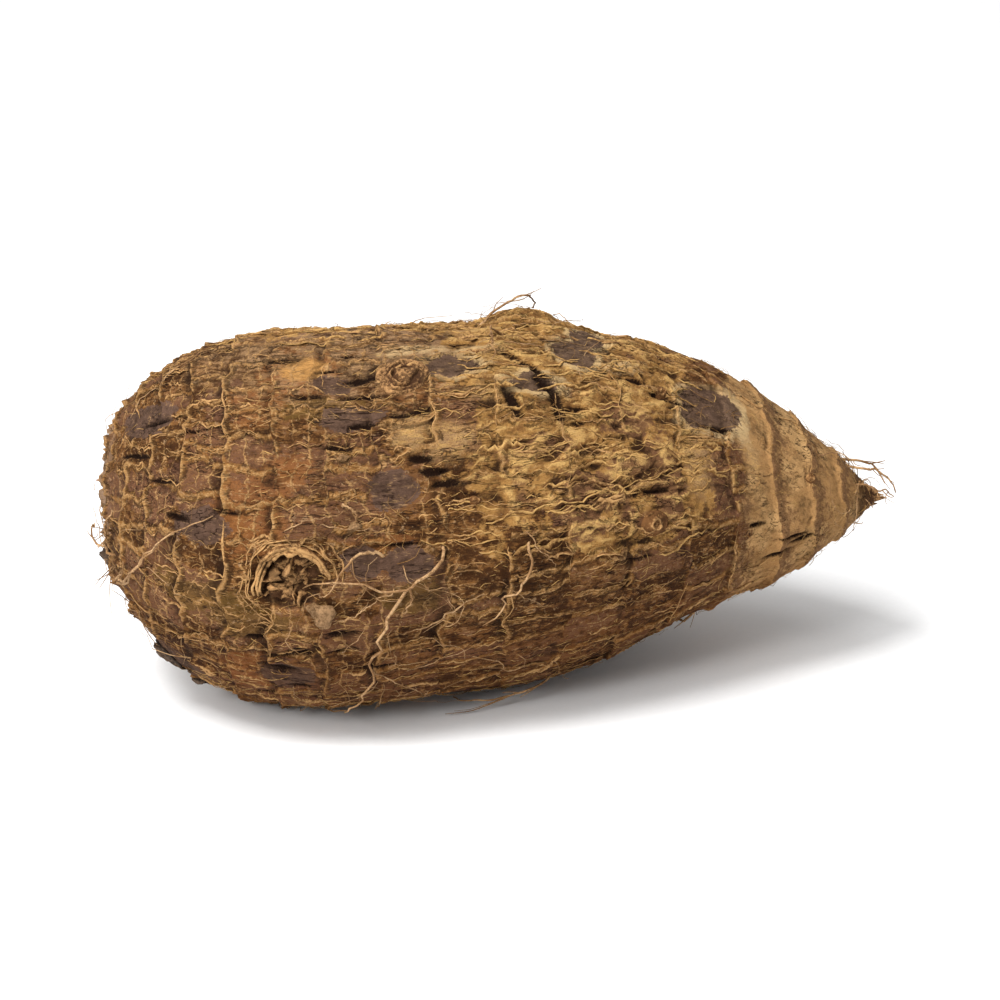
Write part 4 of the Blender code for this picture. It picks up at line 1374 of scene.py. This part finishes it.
def makeCrater():  # what is left of the torn bud on the front
    rng = np.random.default_rng(budFacts["seed"])
    u, degrees = skinFacts["craterAt"]
    arc, angle, width = float(arcAt(u)), math.radians(degrees), float(girth(u))
    radius = skinFacts["craterRadius"]

    def heightAt(out, turn, plan):
        rays = noiseAt(np.c_[3.2 * np.cos(turn), 3.2 * np.sin(turn), out * 0.5], 1.0)
        bits = withPlanNoise(plan, 1.6, 3.0)
        total = 0.35 + 0.9 * np.maximum(0, rays) * smooth(radius, 1.0, out)
        total = total + 1.1 * np.maximum(bits, -0.25)
        return total + 0.6 * bump(out - 1.2 + bits, 0.5) + 0.2 * withPlanNoise(plan, 0.5, 8.0)

    mesh, places, height = discMesh("crater", arc, angle, radius - 0.2, heightAt)
    # partly painted shade: darker in the low cavities of the hollow, paler on the raised shreds
    addNumberField(mesh, "reach", 0.55 * height)
    finishPiece("crater", mesh, budBark, places)

    count, points = budFacts["petals"], 7  # torn leaf bases that lean in over the hollow
    out = np.sqrt(rng.uniform(0.06, 0.95, count)) * radius
    turn = rng.uniform(0, math.tau, count)
    along = np.linspace(-0.5, 0.5, points)[None, :] * rng.uniform(1.6, 3.6, count)[:, None]
    heading = turn + math.pi / 2 + rng.normal(0, 0.40, count)
    x = (out * np.cos(turn))[:, None] + along * np.cos(heading)[:, None]
    y = (out * np.sin(turn))[:, None] + along * np.sin(heading)[:, None]
    heights = raggedHeights(rng, rng.uniform(1.1, 2.7, count), points)
    inward = rng.uniform(0.2, 1.1, count)
    leans = np.stack([-np.cos(turn) * inward, -np.sin(turn) * inward], -1)
    strips("craterPetals", arc + x, angle + y / width, heights, leans, budBark, 4, 0.42)

    count, points = budFacts["wraps"], 12  # thin edges that circle the hollow
    reach = radius + rng.choice((0.7, 1.3, 2.2, 3.2), count) + rng.normal(0, 0.12, count)
    start = rng.uniform(-0.3, 3.0, count)
    turn = start[:, None] + np.linspace(0, 1, points)[None, :] * rng.uniform(0.6, 1.8, count)[:, None]
    reach = reach[:, None] + 0.08 * rng.standard_normal((count, points)).cumsum(1)
    x, y = reach * np.cos(turn), reach * np.sin(turn)
    heights = raggedHeights(rng, rng.uniform(0.15, 0.5, count), points)
    leans = rng.uniform(-1.2, 1.2, (count, 2))
    strips("craterWraps", arc + x, angle + y / width, heights, leans, tornBark, 2, 0.14)

    count, points = 3, 26  # the bold rim over the top of the hollow
    turn = np.linspace(0.05, 3.65, points)[None, :] + rng.normal(0, 0.08, (count, 1))
    reach = radius + np.array([0.55, 0.85, 1.15])[:, None]
    reach = reach + 0.07 * rng.standard_normal((count, points)).cumsum(1)
    x, y = reach * np.cos(turn), reach * np.sin(turn)
    heights = raggedHeights(rng, np.array([1.5, 1.3, 0.9]), points)
    leans = np.full((count, 2), -0.25)
    strips("craterRim", arc + x, angle + y / width, heights, leans, tornBark, 3, 0.40)


def makeLump(name, u, degrees, size, stand, material, seed):  # a small solid crumb sunk in the bark
    bm = bmesh.new()
    bmesh.ops.create_icosphere(bm, subdivisions=4, radius=1.0)
    mesh = meshOf(name, bm)
    ball = pointsOf(mesh)
    rough = 1 + 0.55 * noiseAt(ball, 1.1, seed) + 0.3 * noiseAt(ball, 0.4, seed)
    ball = ball * rough[:, None] * np.array(size)
    arc, angle, width = float(arcAt(u)), math.radians(degrees), max(float(girth(u)), 4)
    places = onSkin(np.maximum(arc + ball[:, 0], 0.3), angle + ball[:, 1] / width, ball[:, 2] + stand)
    # painted light and shade: paler where the crumb stands out, darker low down where it meets the bark
    addNumberField(mesh, "reach", 0.4 + 0.5 * ball[:, 2])
    finishPiece(name, mesh, material, places)


# Share of the length, angle, size, stand over the bark, material and seed
lumps = {
    "paleNub": (0.288, -6, (1.7, 2.1, 1.1), 0.35, paleBark, 2.0),
    "paleChip": (0.316, 19, (1.1, 0.8, 0.5), 0.3, paleBark, 7.0),
    "topChip": (0.308, 39, (0.8, 0.6, 0.4), 0.3, paleBark, 17.0),
    "darkStub": (0.016, -42, (1.5, 1.5, 1.4), 0.6, sootBark, 4.0),
    "darkScab": (0.092, -55, (3.2, 2.6, 1.2), 0.2, sootBark, 9.0),
    "lowScab": (0.130, -62, (2.6, 1.6, 0.9), 0.1, sootBark, 19.0),
}

for index, facts in enumerate(budFacts["leafy"]):
    makeLeafyBud(index + 1, *facts)
for index, facts in enumerate(budFacts["eyes"]):
    makeEye(index + 1, *facts)
makeCrater()
for name, facts in lumps.items():
    makeLump(name, *facts)


endFacts = {
    "crownRadius": 7.6,
    # each rim's reach from the middle and its height
    "crownRims": ((1.2, 2.3), (2.3, 1.7), (3.4, 1.5), (4.6, 1.0), (5.9, 0.7)),
    "tailRadius": 3.2,
    "tailRims": ((0.5, 2.2), (1.3, 1.5), (2.2, 0.8)),
}


def makeCap(name, pole, facing, radius, rims, steepness, material, seed):  # torn rims round a pole
    mesh, _, _ = discMesh(name, 30.0, 0.0, 1.0, lambda out, turn, plan: 0 * out)
    plan = pointsOf(mesh)[:, :2] * radius
    out, turn = np.hypot(plan[:, 0], plan[:, 1]), np.arctan2(plan[:, 1], plan[:, 0])
    at = out + 0.7 * withPlanNoise(plan, 3.0, seed) + 0.2 * withPlanNoise(plan, 0.9, seed + 5)
    total = 0.1 + 0 * out
    for number, (reach, tall) in enumerate(rims):
        spot = np.c_[np.cos(turn), np.sin(turn), np.full(len(turn), number + seed)]
        tear = np.clip(0.8 + 0.9 * noiseAt(spot, 0.6), 0.15, 1.4)
        away = at - reach
        rim = np.where(away < 0, bump(away, 0.22), bump(away, 0.5))
        total = np.maximum(total, tall * tear * rim)
    height = total + 0.15 * withPlanNoise(plan, 0.6, seed + 9)
    stand = height * smooth(radius, radius - 1.0, out) - 0.9 * smooth(radius - 1.2, radius, out)
    stand = stand - steepness * out**2 / (2 * radius)
    places = pole + np.stack([facing * stand, -facing * plan[:, 0], plan[:, 1]], -1)
    # partly painted shade: pale torn fibre on the raised rims, painted shade in the low places between
    # them
    addNumberField(mesh, "reach", 0.05 + 0.55 * height)
    addNumberField(mesh, "bud", smooth(1.9, 0.9, at))
    finishPiece(name, mesh, material, places)


def makeCrownMaterial():  # bark that turns to the pink of a shoot in the middle
    material = budBark.copy()
    material.name = "crown bark"
    tree = material.node_tree
    shader = tree.nodes["Principled BSDF"]
    before = shader.inputs["Base Color"].links[0].from_socket
    pink = mix(tree, times(tree, field(tree, "bud", "Fac"), 0.8), before, barkTones["shoot"])
    tree.links.new(pink, shader.inputs["Base Color"])
    return material


crownBark = makeCrownMaterial()
makeCap("crownBud", crownPole, -1, endFacts["crownRadius"], endFacts["crownRims"], 0.7, crownBark, 3.0)
makeCap("tailStub", tailPole, 1, endFacts["tailRadius"], endFacts["tailRims"], 1.7, budBark, 14.0)


stageFacts = {
    "floorTones": ((0.90, 0.90, 0.90, 1), (0.885, 0.885, 0.885, 1)),
    "worldLight": 0.46,
    "sun": ("skylight", (-0.5, -0.35, 1.0), 1.3, 60),  # way back to it, power, spread in degrees
    # place and size as shares of the part's span, with the power between them
    "lights": (("overhead", (-1.5, -1.4, 3.9), 5.6, 1.6), ("front", (-2.6, -3.6, 2.6), 3.2, 1.4)),
    "elevation": 22.0,
    "azimuth": 0.0,
    "distance": 0.65,
    "lens": 132.0,
}


def makeFloor():
    bm = bmesh.new()
    bmesh.ops.create_grid(bm, x_segments=8, y_segments=8, size=span * 18)
    bmesh.ops.translate(bm, verts=bm.verts, vec=(0, 0, cadLow.z - 0.0002))
    mesh = meshOf("floor", bm)
    material, tree, shader = newMaterial("pale paper", 0.9, 0.2)
    place = put(tree, "ShaderNodeTexCoord").outputs["Object"]
    shade = grain(tree, place, 900.0, 3.0)
    colour = mix(tree, ramp(tree, shade, 0.3, 0.7), *stageFacts["floorTones"])
    tree.links.new(colour, shader.inputs["Base Color"])
    mesh.materials.append(material)
    floor = bpy.data.objects.new("floor", mesh)
    bpy.context.scene.collection.objects.link(floor)


def addHolder(name, data, place, back):  # puts a light or camera in place with its back this way
    holder = bpy.data.objects.new(name, data)
    holder.location = place
    holder.rotation_mode = "QUATERNION"
    holder.rotation_quaternion = back.to_track_quat("Z", "Y")
    bpy.context.scene.collection.objects.link(holder)
    return holder


def addLight(name, place, power, size):
    lamp = bpy.data.lights.new(name, "AREA")
    lamp.energy = power
    lamp.size = size * span
    addHolder(name, lamp, Vector(place) * span, Vector(place) * span - middle)


def addSun(name, place, power, spread):
    lamp = bpy.data.lights.new(name, "SUN")
    lamp.energy = power
    lamp.angle = math.radians(spread)
    addHolder(name, lamp, (0, 0, 0), Vector(place))


def makeLight():
    world = bpy.data.worlds.new("studio")
    world.use_nodes = True
    inputs = world.node_tree.nodes["Background"].inputs
    inputs["Color"].default_value = (1, 1, 1, 1)
    inputs["Strength"].default_value = stageFacts["worldLight"]
    bpy.context.scene.world = world
    addSun(*stageFacts["sun"])
    for facts in stageFacts["lights"]:
        addLight(*facts)
    bpy.context.scene.view_settings.view_transform = "Standard"


def makeCamera():
    camera = bpy.data.cameras.new("camera")
    camera.lens = stageFacts["lens"]
    camera.sensor_width = 36
    up, turn = math.radians(stageFacts["elevation"]), math.radians(stageFacts["azimuth"])
    back = Vector((math.sin(turn) * math.cos(up), -math.cos(turn) * math.cos(up), math.sin(up)))
    place = middle + back * stageFacts["distance"]
    bpy.context.scene.camera = addHolder("camera", camera, place, back)


makeFloor()
makeLight()
makeCamera()
print("stage ready")

bpy.context.view_layer.update()
